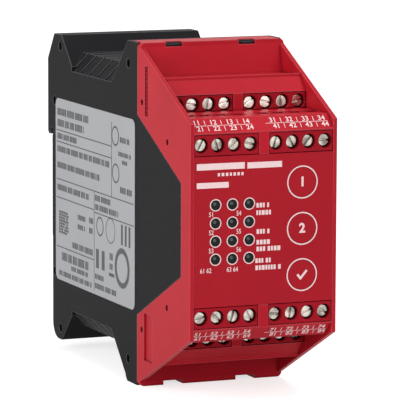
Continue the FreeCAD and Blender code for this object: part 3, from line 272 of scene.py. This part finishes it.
# --- Terminal screws ------------------------------------------------------------------------------------
# Nickel-plated steel screws, turned and slotted, each head at its own angle. The plating is cloudy, and its
# tone is painted light: a brighter lit copy on the upper rear row, which the lamps reach, and a darker shaded
# copy on the other rows.
SHADED_NICKEL = "#C9C4BA"
SHADED_NICKEL_DULL = "#77726A"
LIT_NICKEL = "#EFEBE3"
LIT_NICKEL_DULL = "#A5A096"
SCREW_RADIUS = 0.25 * MM
# The lathe's fine marks are drawn coarser than they are, so that they show.
SCREW_GRAIN = 0.5 * MM
SCRATCH_DEPTH = 0.03 * MM
CLOUD_SIZE = 3.2 * MM


def turned_metal(name, colour, roughness, pitch, bump=0.2, dull="#A9A499", radius=0.1 * MM):
    """A plated or drawn metal: a fine grain of the given pitch as bump over rounded edges, and clouds that
    run from a dull, smooth tone to a bright, rougher one."""
    material = new_material(name)
    place = add_node(material, "ShaderNodeTexCoord").outputs["Object"]
    cloud = add_node(material, "ShaderNodeTexNoise",
                     {"Scale": 1 / CLOUD_SIZE, "Detail": 2.0, "Roughness": 0.5}, {"Vector": place})
    grain = add_node(material, "ShaderNodeTexNoise",
                     {"Scale": 1 / pitch, "Detail": 2.0, "Roughness": 0.7}, {"Vector": place})
    shade = add_node(material, "ShaderNodeValToRGB", {}, {"Fac": cloud.outputs[0]})
    for stop, (position, tone) in zip(shade.color_ramp.elements, ((0.35, dull), (0.6, colour))):
        stop.position = position
        stop.color = linear(tone)
    rough = add_node(material, "ShaderNodeMapRange",
                     {"From Min": 0.3, "From Max": 0.7,
                      "To Min": roughness - 0.08, "To Max": roughness + 0.1},
                     {"Value": cloud.outputs[0]})
    edge = add_node(material, "ShaderNodeBevel", {"samples": 6, "Radius": radius})
    relief = add_node(material, "ShaderNodeBump", {"Strength": bump, "Distance": SCRATCH_DEPTH},
                      {"Height": grain.outputs[0], "Normal": edge.outputs["Normal"]})
    shader = add_node(material, "ShaderNodeBsdfPrincipled", {"Metallic": 1.0},
                      {"Base Color": shade.outputs["Color"], "Roughness": rough.outputs["Result"],
                       "Normal": relief.outputs["Normal"]})
    add_node(material, "ShaderNodeOutputMaterial", links={"Surface": shader.outputs["BSDF"]})
    return material


shaded_nickel_plate = turned_metal("shaded_turned_nickel_plated_steel", SHADED_NICKEL, 0.26, SCREW_GRAIN,
                            bump=0.04, dull=SHADED_NICKEL_DULL, radius=SCREW_RADIUS)
lit_nickel_plate = turned_metal("lit_turned_nickel_plated_steel", LIT_NICKEL, 0.24, SCREW_GRAIN,
                            bump=0.04, dull=LIT_NICKEL_DULL, radius=SCREW_RADIUS)
# Painted light: the upper rear row takes the lit copy, the other rows the shaded one.
for block in BLOCKS:
    dress_nodes([block + "_terminal_screws"], lit_nickel_plate if "upper_rear" in block else shaded_nickel_plate)

# --- Clamp cages and contact pins -----------------------------------------------------------------------
# Folded steel cages that the screws pull up, and stamped brass bars that they clamp the wires to. The
# cages' zinc is a dull blue-grey, and the bars' tin is warmer and a little brighter.
ZINC = "#A9ACB0"
TINNED = "#C9C2AC"
SHEET_GRAIN = 0.4 * MM
zinc_plate = turned_metal("folded_zinc_plated_steel", ZINC, 0.38, SHEET_GRAIN)
dress_nodes([row + "_clamp_cages" for row in ROWS], zinc_plate)
tinned_brass = turned_metal("stamped_tinned_brass", TINNED, 0.33, SHEET_GRAIN)
dress_nodes([row + "_contact_pins" for row in ROWS], tinned_brass)

# --- Front foil and its print ---------------------------------------------------------------------------
# Polycarbonate film, screen-printed red from behind and glued into the panel's recess, with pale pink
# rings round the lamps and keys and small numbers and rules beside them.
FOIL_RED = "#AB1826"
FOIL_GRAIN = 0.3 * MM
PRINT_WHITE = "#F6D8D9"
PRINT_LIFT = 0.012 * MM
PRINT_THICK = 0.02 * MM
# The mesh of the printer's screen is drawn coarser than the real one, so that it shows.
SCREEN_MESH = 0.35 * MM
# A smooth film with hardly any grain, so that its red reads flat and even.
foil_film = moulded_plastic("screen_printed_red_film", FOIL_RED, FOIL_GRAIN, 0.40, bump=0.03,
                            spread=0.03, level=0.1)
dress_nodes(["front_foil"], foil_film)
foil_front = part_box("front_foil")[0].y


def printed_ink(name, colour, roughness=0.45):
    """Screen ink: a flat colour broken a little by the mesh of the screen it was drawn through; the lenses'
    painted highlight is drawn with it too.
    """
    material = new_material(name)
    place = add_node(material, "ShaderNodeTexCoord").outputs["Object"]
    weave = add_node(material, "ShaderNodeTexNoise",
                     {"Scale": 1 / SCREEN_MESH, "Detail": 2.0}, {"Vector": place})
    shade = add_node(material, "ShaderNodeMapRange",
                     {"From Min": 0.3, "From Max": 0.7, "To Min": 0.94, "To Max": 1.03},
                     {"Value": weave.outputs[0]})
    tint = add_node(material, "ShaderNodeVectorMath",
                    {"operation": "MULTIPLY", 0: linear(colour)[:3]}, {1: shade.outputs["Result"]})
    shader = add_node(material, "ShaderNodeBsdfPrincipled", {"IOR": 1.45, "Roughness": roughness},
                      {"Base Color": tint.outputs["Vector"]})
    add_node(material, "ShaderNodeOutputMaterial", links={"Surface": shader.outputs["BSDF"]})
    return material


def on_sheet(points, place):
    """Moves a sheet's points to where the sheet is: origin + across * row 1 + up * row 2 + out * row 3."""
    return points @ np.array(place[1]) + np.array(place[0])


def ring_print(name, centres, inner, outer, place, material, body="module", sides=64):
    """Printed rings on a sheet. A section (radius, height off the sheet) of four corners is turned round
    each centre: across = cx + r cos t, up = cz + r sin t."""
    turn = np.linspace(0, 2 * np.pi, sides, endpoint=False)
    section = np.array([[inner, 0], [inner, PRINT_THICK], [outer, PRINT_THICK], [outer, 0]])
    points, faces = [], []
    for cx, cz in centres:
        ring = np.stack([cx + section[:, :1] * np.cos(turn), cz + section[:, :1] * np.sin(turn),
                         np.zeros((4, sides)) + section[:, 1:]], -1)
        faces.append(grid_faces(4, sides, first=len(points) * 4 * sides, close=True))
        points.append(ring.reshape(-1, 3))
    return mesh_piece(name, on_sheet(np.concatenate(points), place), np.concatenate(faces), material, body)


def middle_of(name):
    """The middle of a CAD node's box."""
    low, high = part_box(name)
    return (low + high) / 2


# Four rows of three lamps on the board's grid, and three keys in a column.
LAMP_PITCH = 5.08 * MM
LAMP_RING = (1.44 * MM, 1.72 * MM)
KEY_RING = (4.30 * MM, 4.66 * MM)
guide_middle = middle_of("light_guide")
LAMP_X = guide_middle.x + LAMP_PITCH * np.array([-1, 0, 1])
LAMP_Z = guide_middle.z + LAMP_PITCH * np.array([1.5, 0.5, -0.5, -1.5])
LAMPS = [(x, z) for x in LAMP_X for z in LAMP_Z]
KEYS = {key: (middle_of(key + "_key").x, middle_of(key + "_key").z) for key in ("upper", "middle", "lower")}
# Pale ink, tinted pink by the red beneath it.
print_ink = printed_ink("pale_screen_ink", PRINT_WHITE)
# A sheet's place is its origin and three rows: across, up and out of the surface.
PANEL = ((0, foil_front - PRINT_LIFT, 0), ((1, 0, 0), (0, 0, 1), (0, -1, 0)))
ring_print("lamp_rings", LAMPS, *LAMP_RING, PANEL, print_ink, sides=40)
ring_print("key_rings", list(KEYS.values()), *KEY_RING, PANEL, print_ink, sides=96)


def bar_print(name, bars, place, material, body="module"):
    """Printed bars: each (left, right, low, high) on the sheet is a thin slab of eight corners, the front
    four first, and six sides."""
    points, faces = [], []
    sides = np.array([[0, 1, 2, 3], [0, 4, 5, 1], [1, 5, 6, 2], [2, 6, 7, 3], [3, 7, 4, 0], [4, 7, 6, 5]])
    for index, (left, right, low, high) in enumerate(bars):
        flat = np.array([[left, low], [right, low], [right, high], [left, high]])
        slab = np.concatenate([np.c_[flat, np.full(4, PRINT_THICK)], np.c_[flat, np.zeros(4)]])
        points.append(slab)
        faces.append(sides + 8 * index)
    return mesh_piece(name, on_sheet(np.concatenate(points), place), np.concatenate(faces), material, body)


def number_print(name, words, size, place, material, body="module", squeeze=1.0, weight=0.0):
    """Printed numbers: each (text, across, up) is set centred on the sheet as thin figures, whose strokes
    are made heavier by a weight on every side."""
    points, faces, count = [], [], 0
    for text, across, up in words:
        curve = bpy.data.curves.new(name, "FONT")
        curve.body = text
        curve.size = size
        curve.align_x = "CENTER"
        curve.align_y = "CENTER"
        curve.extrude = PRINT_THICK / 2
        curve.offset = weight
        curve.resolution_u = 3
        figure = bpy.data.objects.new(name + "_figure", curve)
        bpy.context.scene.collection.objects.link(figure)
        bpy.context.view_layer.update()
        mesh = bpy.data.meshes.new_from_object(figure)
        flat = np.empty(3 * len(mesh.vertices))
        mesh.vertices.foreach_get("co", flat)
        points.append(flat.reshape(-1, 3) * (squeeze, 1, 1) + (across, up, PRINT_THICK / 2))
        faces += [np.array(face.vertices) + count for face in mesh.polygons]
        count += len(mesh.vertices)
        bpy.data.objects.remove(figure)
        bpy.data.meshes.remove(mesh)
    return mesh_piece(name, on_sheet(np.concatenate(points), place), faces, material, body)


def dash_lines(lines, seed, narrow=0.45, wide=1.1, gap=0.3):
    """Rows of short dashes set like words: each line is (left, right, middle, height), in millimetres."""
    rng = np.random.default_rng(seed)
    bars = []
    for left, right, middle, height in lines:
        across, word = left, rng.integers(3, 8)
        while across < right - narrow:
            long = min(rng.uniform(narrow, wide), right - across)
            bars.append((across, across + long, middle - height / 2, middle + height / 2))
            word -= 1
            across += long + (gap if word else 3 * gap)
            word = word or rng.integers(3, 8)
    return bars


def in_metres(bars):
    """Bars given in millimetres as arrays in metres."""
    return [np.array(bar) * MM for bar in bars]


# The panel's bars, lines of dashes and numbers, in millimetres from its middle.
HEAD_BARS = [(-20.3, -5.9, 17.4, 19.2), (-5.1, 5.4, 17.35, 19.05), (-20.3, -10.7, 12.3, 13.9)]
HEAD_DASHES = [(-14.0, -5.8, 16.0, 0.9)]
SIDE_DASHES = [(-2.3, 2.2, 6.9, 1.3), (-2.3, 2.1, 4.8, 1.3), (-2.2, 1.7, -0.5, 1.3), (-2.2, 2.9, -3.5, 1.3),
               (-2.2, 5.2, -5.4, 1.3), (-2.5, 2.7, -8.7, 1.3), (-2.5, 5.2, -10.7, 1.3)]
PANEL_DASHES = dash_lines(HEAD_DASHES, 3, 0.6, 0.9, 0.45) + dash_lines(SIDE_DASHES, 11, 0.5, 0.95, 0.25)
bar_print("panel_rules", in_metres(HEAD_BARS + PANEL_DASHES), PANEL, print_ink)
LAMP_NUMBER_SIZE = 1.9 * MM
LAMP_NUMBERS = [("51", -15.9, 4.9), ("52", -15.9, -0.2), ("53", -15.9, -5.3), ("54", -7.6, 4.9),
                ("55", -7.6, -0.2), ("56", -7.6, -5.3), ("61 62", -17.5, -10.8), ("63 64", -9.5, -10.8)]
number_print("lamp_numbers", [(text, x * MM, z * MM) for text, x, z in LAMP_NUMBERS], LAMP_NUMBER_SIZE,
             PANEL, print_ink, squeeze=0.8, weight=0.02 * MM)

# --- Keys -----------------------------------------------------------------------------------------------
# Three round membrane keys level with the foil, each marked with a plain figure or a tick in the same ink.
dress_nodes([key + "_key" for key in KEYS], foil_film)
FIGURE_SIZE = 3.7 * MM
FIGURE_WEIGHT = 0.13 * MM
TICK_WIDTH = 0.66 * MM
for key, text in (("upper", "1"), ("middle", "2")):
    number_print(key + "_key_figure", [(text, *KEYS[key])], FIGURE_SIZE, PANEL, print_ink, key + "_button",
                 weight=FIGURE_WEIGHT)


def stroke_print(name, path, width, place, material, body):
    """A printed stroke: a path of corners widened to both sides by half the width, mitred at the bend."""
    path = np.array(path)
    run = np.diff(path, axis=0)
    normal = np.stack([-run[:, 1], run[:, 0]], -1) / np.linalg.norm(run, axis=1, keepdims=True)
    corner = np.concatenate([normal[:1], normal[:-1] + normal[1:], normal[-1:]])
    corner[1:-1] /= (1 + (normal[:-1] * normal[1:]).sum(1))[:, None]
    edge = np.stack([path + corner * width / 2, path - corner * width / 2])
    count = len(path)
    levels = np.concatenate([np.c_[edge.reshape(-1, 2), np.full(2 * count, h)] for h in (PRINT_THICK, 0)])
    i = np.arange(count - 1)
    top = np.stack([i, i + count, i + count + 1, i + 1], -1)
    sides = [np.stack([i, i + 1, i + 1 + 2 * count, i + 2 * count], -1),
             np.stack([i + 1 + count, i + count, i + 3 * count, i + 1 + 3 * count], -1)]
    ends = np.array([[0, 2 * count, 3 * count, count],
                     [count - 1, 2 * count - 1, 4 * count - 1, 3 * count - 1]])
    faces = np.concatenate([top, *sides, ends, top[:, ::-1] + 2 * count])
    return mesh_piece(name, on_sheet(levels, place), faces, material, body)


TICK = np.array([(-1.4, 0.1), (-0.4, -1.0), (1.5, 1.2)]) * MM + KEYS["lower"]
stroke_print("lower_key_tick", TICK, TICK_WIDTH, PANEL, print_ink, "lower_button")

# --- Light guide, lamps and switches --------------------------------------------------------------------
# A dark tinted acrylic moulding whose twelve round ends show in the foil; diodes and key switches behind.
ACRYLIC_DEEP = "#0C0E0E"
ACRYLIC_PALE = "#14211D"
TINT_CLOUD = 2.0 * MM
PART_GRAIN = 0.4 * MM


def smoked_acrylic(name, deep, pale):
    """Tinted acrylic over a dark box: nearly black with clouds of a green cast, under a faint clear gloss."""
    material = new_material(name)
    place = add_node(material, "ShaderNodeTexCoord").outputs["Object"]
    cloud = add_node(material, "ShaderNodeTexNoise",
                     {"Scale": 1 / TINT_CLOUD, "Detail": 1.0}, {"Vector": place})
    shade = add_node(material, "ShaderNodeValToRGB", {}, {"Fac": cloud.outputs[0]})
    for stop, tone in zip(shade.color_ramp.elements, (deep, pale)):
        stop.color = linear(tone)
    shader = add_node(material, "ShaderNodeBsdfPrincipled",
                      {"IOR": 1.49, "Roughness": 0.15, "Specular IOR Level": 0.12},
                      {"Base Color": shade.outputs["Color"]})
    add_node(material, "ShaderNodeOutputMaterial", links={"Surface": shader.outputs["BSDF"]})
    return material


dress_nodes(["light_guide"], smoked_acrylic("smoked_acrylic", ACRYLIC_DEEP, ACRYLIC_PALE))

# The small green disc up and left of each lens's centre is a painted highlight on the lens.
LENS_GLINT_SHIFT = np.array([-0.3, 0.35]) * MM
LENS_GLINT_DISC = (0.02 * MM, 0.5 * MM)
lens_glint_ink = printed_ink("painted_lens_glint", "#33463D", roughness=0.2)
ring_print("lens_glints", np.array(LAMPS) + LENS_GLINT_SHIFT, *LENS_GLINT_DISC, PANEL, lens_glint_ink, sides=24)
# Out of sight: cream resin, smooth as cast, and dark switch cases.
led_resin = moulded_plastic("cast_clear_resin", "#D9D6C4", PART_GRAIN, 0.2, bump=0.02)
dress_nodes(["indicator_leds"], led_resin)
switch_plastic = moulded_plastic("moulded_switch_plastic", "#26262A", PART_GRAIN, 0.45)
dress_nodes(["key_switches"] + [key + "_switch_plunger" for key in KEYS], switch_plastic)

# --- Boards and what they carry -------------------------------------------------------------------------
# Glass-epoxy boards with green solder mask, sealed relays, chips, cans and pin strips, all hidden inside.
# The mask is glossy, the relays' nylon is honey-coloured, the cans are plain aluminium, and chips, strips
# and ferrite are dark and dull.
BOARD_GRAIN = 0.5 * MM
CHIP_GRAIN = 0.3 * MM
board_mask = moulded_plastic("green_solder_mask", "#1F5A33", BOARD_GRAIN, 0.3, bump=0.05)
dress_nodes(["front_board", "terminal_board", "left_main_board", "right_main_board"], board_mask)
relay_case = moulded_plastic("moulded_amber_nylon", "#C99A34", BOARD_GRAIN, 0.4)
dress_nodes([f"relay_{number}" for number in range(1, 5)], relay_case)
epoxy = moulded_plastic("moulded_black_epoxy", "#1F1F20", CHIP_GRAIN, 0.55)
dress_nodes(["processor_chips", "input_optocouplers", "dc_converter"], epoxy)
strip_plastic = moulded_plastic("moulded_strip_plastic", "#232325", PART_GRAIN, 0.5)
dress_nodes([side + "_board_connector" for side in ("upper", "lower", "left", "right")], strip_plastic)
aluminium = turned_metal("drawn_aluminium_can", "#B9BBBE", 0.4, BOARD_GRAIN)
dress_nodes(["electrolytic_capacitors"], aluminium)
ferrite = moulded_plastic("sintered_ferrite", "#3A3A3C", CHIP_GRAIN, 0.6)
dress_nodes(["power_inductor"], ferrite)

# --- Terminal numbers -----------------------------------------------------------------------------------
# Two lines of plain numbers in the panel's pale ink on the sloping strips above and below the panel,
# parted by a rule and short marks.
STRIP_LOW = 27.6 * MM
STRIP_SIZE = 3.8 * MM
POLE = 4.95 * MM
NUMBER_SIZE = 2.35 * MM
NUMBER_UP, NUMBER_DOWN, NUMBER_STEP = 1.05 * MM, -1.1 * MM, 0.3 * MM
# Each half of a strip: where its middle is, and how far its print is set off to the side.
HALVES = ((-11.13 * MM, -0.5 * MM), (11.13 * MM, 0.2 * MM))
# A half's rule runs this far to the left and right. Between two poles one mark stands over it and one
# hangs under it, from near to far, each beginning this far beside the middle between the poles.
RULE_LEFT, RULE_RIGHT, RULE_HALF = 2.05 * POLE, 1.75 * POLE, 0.07 * MM
MARK_NEAR, MARK_FAR, MARK_WIDTH = 0.25 * MM, 1.85 * MM, 0.17 * MM
UPPER_MARK, LOWER_MARK = -0.45 * MM, 0.15 * MM


def strip_place(sign):
    """The place of the upper (1) or lower (-1) front strip, which slopes at 45 degrees."""
    up = np.array([0, sign, 1]) / math.sqrt(2)
    out = np.array([0, -1, sign]) / math.sqrt(2)
    middle = np.array([0, cover_low.y + STRIP_SIZE / 2, sign * (STRIP_LOW + STRIP_SIZE / 2)])
    return (tuple(middle + out * PRINT_LIFT), ((1, 0, 0), tuple(up), tuple(out)))


for sign, name, first in ((1, "upper", 1), (-1, "lower", 5)):
    words, bars = [], []
    for half, (middle, shift) in enumerate(HALVES):
        tens = first + 2 * half
        bars.append((middle - RULE_LEFT + shift, middle + RULE_RIGHT + shift, -RULE_HALF, RULE_HALF))
        for pole in range(4):
            x = middle + (pole - 1.5) * POLE + shift
            words.append((str(10 * tens + pole + 1), x - NUMBER_STEP, NUMBER_UP))
            words.append((str(10 * (tens + 1) + pole + 1), x + NUMBER_STEP, NUMBER_DOWN))
        for pole in range(3):
            upper = middle + (pole - 1) * POLE + shift + UPPER_MARK
            lower = middle + (pole - 1) * POLE + shift + LOWER_MARK
            bars.append((upper, upper + MARK_WIDTH, MARK_NEAR, MARK_FAR))
            bars.append((lower, lower + MARK_WIDTH, -MARK_FAR, -MARK_NEAR))
    place = strip_place(sign)
    number_print(name + "_terminal_numbers", words, NUMBER_SIZE, place, print_ink, squeeze=0.95,
                 weight=0.03 * MM)
    bar_print(name + "_terminal_rules", bars, place, print_ink)

# --- Rating label ---------------------------------------------------------------------------------------
# A grey polyester label on the left side, printed black: thin rules part its fields, and short dashes
# stand where the small print is.
LABEL_GREY = "#A9AAAD"
LABEL_INK = "#2E2F32"
LABEL_GRAIN = 0.4 * MM
# A matt film: an even grey that shows every printed line in a black that is a little faded.
label_film = moulded_plastic("matt_grey_polyester", LABEL_GREY, LABEL_GRAIN, 0.42, bump=0.03,
                             spread=0.02, level=0.1)
dress_nodes(["rating_label"], label_film)
label_low, label_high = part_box("rating_label")
label_ink = printed_ink("black_label_ink", LABEL_INK)
# On the label, across runs from its rear edge to its front edge. Its rules, blocks and lines of dashes are
# in millimetres from that edge and from the rail's middle height.
LABEL = ((label_low.x - PRINT_LIFT, label_high.y, 0), ((0, -1, 0), (0, 0, 1), (-1, 0, 0)))
LABEL_RULES = [(0.8, 46.8, 17.4, 17.7), (0.8, 46.8, 13.9, 14.2), (0.8, 64.6, 2.5, 2.8),
               (46.8, 47.1, 2.8, 24.7), (0.8, 32.6, -3.1, -2.8), (32.6, 64.6, -3.8, -3.5),
               (32.6, 32.9, -27.0, 2.5), (0.8, 32.6, -18.1, -17.8)]
LABEL_BLOCKS = [(34.3, 36.6, -20.0, -14.3), (39.0, 41.3, -20.0, -14.3), (44.9, 49.2, -20.9, -19.9),
                (54.6, 56.0, -10.4, -4.4), (57.6, 59.0, -10.4, -4.4), (60.6, 62.0, -10.4, -4.4)]
bar_print("label_rules", in_metres(LABEL_RULES + LABEL_BLOCKS), LABEL, label_ink)
LABEL_LINES = [(1.6, 29.0, 23.2, 2.1), (1.6, 24.5, 19.8, 2.1), (1.6, 18.5, 15.8, 1.7),
               (1.6, 45.6, 11.9, 1.8), (1.6, 37.0, 7.0, 1.8), (1.6, 28.6, 0.2, 1.8),
               (33.5, 46.0, 0.8, 1.7), (33.5, 53.0, -1.9, 1.7), (53.6, 61.0, 20.2, 1.6),
               (52.4, 62.4, 16.0, 1.3), (55.4, 60.0, 13.8, 1.2), (53.8, 63.0, 5.6, 1.8),
               (19.0, 25.4, -6.9, 1.5), (28.6, 31.8, -6.6, 1.7), (19.0, 25.4, -9.8, 1.5),
               (28.6, 31.8, -9.6, 1.7), (14.4, 32.0, -16.0, 1.8), (5.4, 27.8, -20.6, 2.5),
               (13.4, 27.4, -23.3, 1.4), (3.0, 30.6, -25.9, 1.5), (33.5, 41.6, -22.6, 1.5),
               (33.5, 50.6, -25.4, 1.6), (45.4, 48.6, -15.0, 2.0), (45.4, 48.6, -18.0, 1.8)]
CODE_LINES = [(2.9, 11.0, -7.2 - 0.88 * row, 0.7) for row in range(8)]
LABEL_DASHES = dash_lines(LABEL_LINES, 7) + dash_lines(CODE_LINES, 9, 0.5, 1.6, 0.3)
bar_print("label_dashes", in_metres(LABEL_DASHES), LABEL, label_ink)
for name, inner, outer, places in (("label_rings", 2.4, 2.9, ((49.9, 20.9), (50.3, 10.0), (37.5, -7.3))),
                                   ("label_circle", 3.5, 3.8, ((46.1, -7.4),)),
                                   ("label_band", 4.3, 5.9, ((55.5, -17.2),))):
    ring_print(name, np.array(places) * MM, inner * MM, outer * MM, LABEL, label_ink)

# --- Rail latch -----------------------------------------------------------------------------------------
# Black polyamide slide with a hook behind the rail, pushed up by a small wire spring. It is as matt as
# the housing, and the drawn steel wire is bright with fine draw marks.
LATCH_BLACK = "#1F1F21"
LATCH_RADIUS = 0.15 * MM
WIRE_GREY = "#A5A6A8"
WIRE_GRAIN = 0.3 * MM
latch_plastic = moulded_plastic("moulded_black_latch", LATCH_BLACK, HOUSING_GRAIN, 0.5, level=0.03,
                                radius=LATCH_RADIUS)
dress_nodes(["din_latch"], latch_plastic)
spring_wire = turned_metal("drawn_spring_wire", WIRE_GREY, 0.3, WIRE_GRAIN)
dress_nodes(["latch_spring"], spring_wire)

# The coil stands on the housing's post and shortens by the latch's travel; a merged copy of it takes its
# place.
MERGE_REACH = 0.0001 * MM
coil_mesh = bpy.data.meshes.new("latch_coil")
merged = bmesh.new()
merged.from_mesh(nodes["latch_spring"].data)
bmesh.ops.remove_doubles(merged, verts=merged.verts, dist=MERGE_REACH)
merged.to_mesh(coil_mesh)
merged.free()
latch_coil = bpy.data.objects.new("latch_coil", coil_mesh)
bpy.context.scene.collection.objects.link(latch_coil)
finish_piece(latch_coil, spring_wire, "module")
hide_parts("latch_spring")
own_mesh(latch_coil)

# --- Stage: floor, lamps and camera ---------------------------------------------------------------------
# A white sweep under soft lamps; the strongest stands at the left front, as for a catalogue picture.
scene = bpy.context.scene
scene.view_settings.view_transform = "Standard"
FLOOR_Z = cad_low[2] - 0.05 * MM
# Half the card's width, in metres.
HALF_FLOOR = 3.0
WHITE = (1.0, 1.0, 1.0, 1.0)
CARD_GREY = (0.72, 0.72, 0.72, 1.0)
# The card's own glow grows from near the object to far from it, between two distances in metres.
GLOW_NEAR, GLOW_FAR = 0.7, 0.95
NEAR, FAR = 0.12, 0.6
# The strength of the light that comes from all round.
FILL_LIGHT = 0.32


def seen_directly(owner):
    """1 for a ray from the eye, off a shiny piece or through a clear one, and 0 for light that falls on
    the object: the greatest of the three tests."""
    path = add_node(owner, "ShaderNodeLightPath").outputs
    plain = add_node(owner, "ShaderNodeMath", {"operation": "MAXIMUM"},
                     {0: path["Is Camera Ray"], 1: path["Is Glossy Ray"]})
    seen = add_node(owner, "ShaderNodeMath", {"operation": "MAXIMUM"},
                    {0: plain.outputs[0], 1: path["Is Transmission Ray"]})
    return seen.outputs[0]


def white_sweep():
    """White card that keeps the shadow, and reads as plain white to the eye and in reflections."""
    material = new_material("white_card")
    card = add_node(material, "ShaderNodeBsdfDiffuse", {"Color": CARD_GREY})
    place = add_node(material, "ShaderNodeTexCoord").outputs["Object"]
    away = add_node(material, "ShaderNodeVectorMath", {"operation": "LENGTH"}, {"Vector": place})
    rise = add_node(material, "ShaderNodeMapRange",
                    {"From Min": NEAR, "From Max": FAR, "To Min": GLOW_NEAR, "To Max": GLOW_FAR},
                    {"Value": away.outputs["Value"]})
    glow = add_node(material, "ShaderNodeEmission", {"Color": WHITE}, {"Strength": rise.outputs["Result"]})
    both = add_node(material, "ShaderNodeAddShader", {}, {0: card.outputs[0], 1: glow.outputs[0]})
    mix = add_node(material, "ShaderNodeMixShader", {},
                   {0: seen_directly(material), 1: card.outputs[0], 2: both.outputs[0]})
    add_node(material, "ShaderNodeOutputMaterial", links={"Surface": mix.outputs[0]})
    return material


floor_mesh = bpy.data.meshes.new("floor")
corners = [(-1, -1), (1, -1), (1, 1), (-1, 1)]
floor_mesh.from_pydata([(x * HALF_FLOOR, y * HALF_FLOOR, FLOOR_Z) for x, y in corners], [], [(0, 1, 2, 3)])
floor_mesh.materials.append(white_sweep())
floor = bpy.data.objects.new("floor", floor_mesh)
scene.collection.objects.link(floor)

world = bpy.data.worlds.new("studio")
world.use_nodes = True
world.node_tree.nodes.clear()
fill = add_node(world, "ShaderNodeBackground", {"Color": WHITE, "Strength": FILL_LIGHT})
white = add_node(world, "ShaderNodeBackground", {"Color": WHITE, "Strength": 1.0})
sky = add_node(world, "ShaderNodeMixShader", {},
               {0: seen_directly(world), 1: fill.outputs[0], 2: white.outputs[0]})
add_node(world, "ShaderNodeOutputWorld", links={"Surface": sky.outputs[0]})
scene.world = world

AIM = Vector((0.0, -55.0 * MM, 0.0))


def soft_lamp(name, direction, distance, size, power):
    """A square softbox that looks at the object from a direction, in metres and watts."""
    lamp = bpy.data.lights.new(name, "AREA")
    lamp.shape = "SQUARE"
    lamp.size = size
    lamp.energy = power
    holder = bpy.data.objects.new(name, lamp)
    out = Vector(direction).normalized()
    holder.location = AIM + out * distance
    holder.rotation_euler = out.to_track_quat("Z", "Y").to_euler()
    scene.collection.objects.link(holder)


soft_lamp("left_softbox", (-1.0, -0.35, 0.35), distance=0.7, size=0.5, power=3.0)
soft_lamp("front_softbox", (0.15, -1.0, 0.35), distance=0.8, size=0.5, power=1.6)
soft_lamp("top_softbox", (0.2, -0.1, 1.0), distance=0.7, size=0.5, power=2.3)

# A long lens from a little to the left and above: its turn, rise and roll, its distance from the middle of
# the object's depth, and how far its axis is shifted to the right and up from there.
TURN = math.radians(-22.687)
RISE = math.radians(7.871)
ROLL = math.radians(0.239)
MIDDLE_DEPTH = np.array([0.0, -53.0, 0.0]) * MM
DISTANCE = 1046.0 * MM
SHIFT_RIGHT, SHIFT_UP = 6.26 * MM, -1.15 * MM
back = np.array([math.sin(TURN) * math.cos(RISE), -math.cos(TURN) * math.cos(RISE), math.sin(RISE)])
right = np.array([math.cos(TURN), math.sin(TURN), 0.0])
up = np.cross(back, right)
eye_point = MIDDLE_DEPTH + right * SHIFT_RIGHT + up * SHIFT_UP + back * DISTANCE
rolled_right = right * math.cos(ROLL) + up * math.sin(ROLL)
rolled_up = -right * math.sin(ROLL) + up * math.cos(ROLL)
camera = bpy.data.objects.new("camera", bpy.data.cameras.new("camera"))
camera.data.sensor_width = 36.0
camera.data.lens = 309.3
camera.data.clip_end = 20.0
turned = Matrix([rolled_right.tolist(), rolled_up.tolist(), back.tolist()]).transposed().to_4x4()
camera.matrix_world = Matrix.Translation(eye_point.tolist()) @ turned
scene.collection.objects.link(camera)
scene.camera = camera
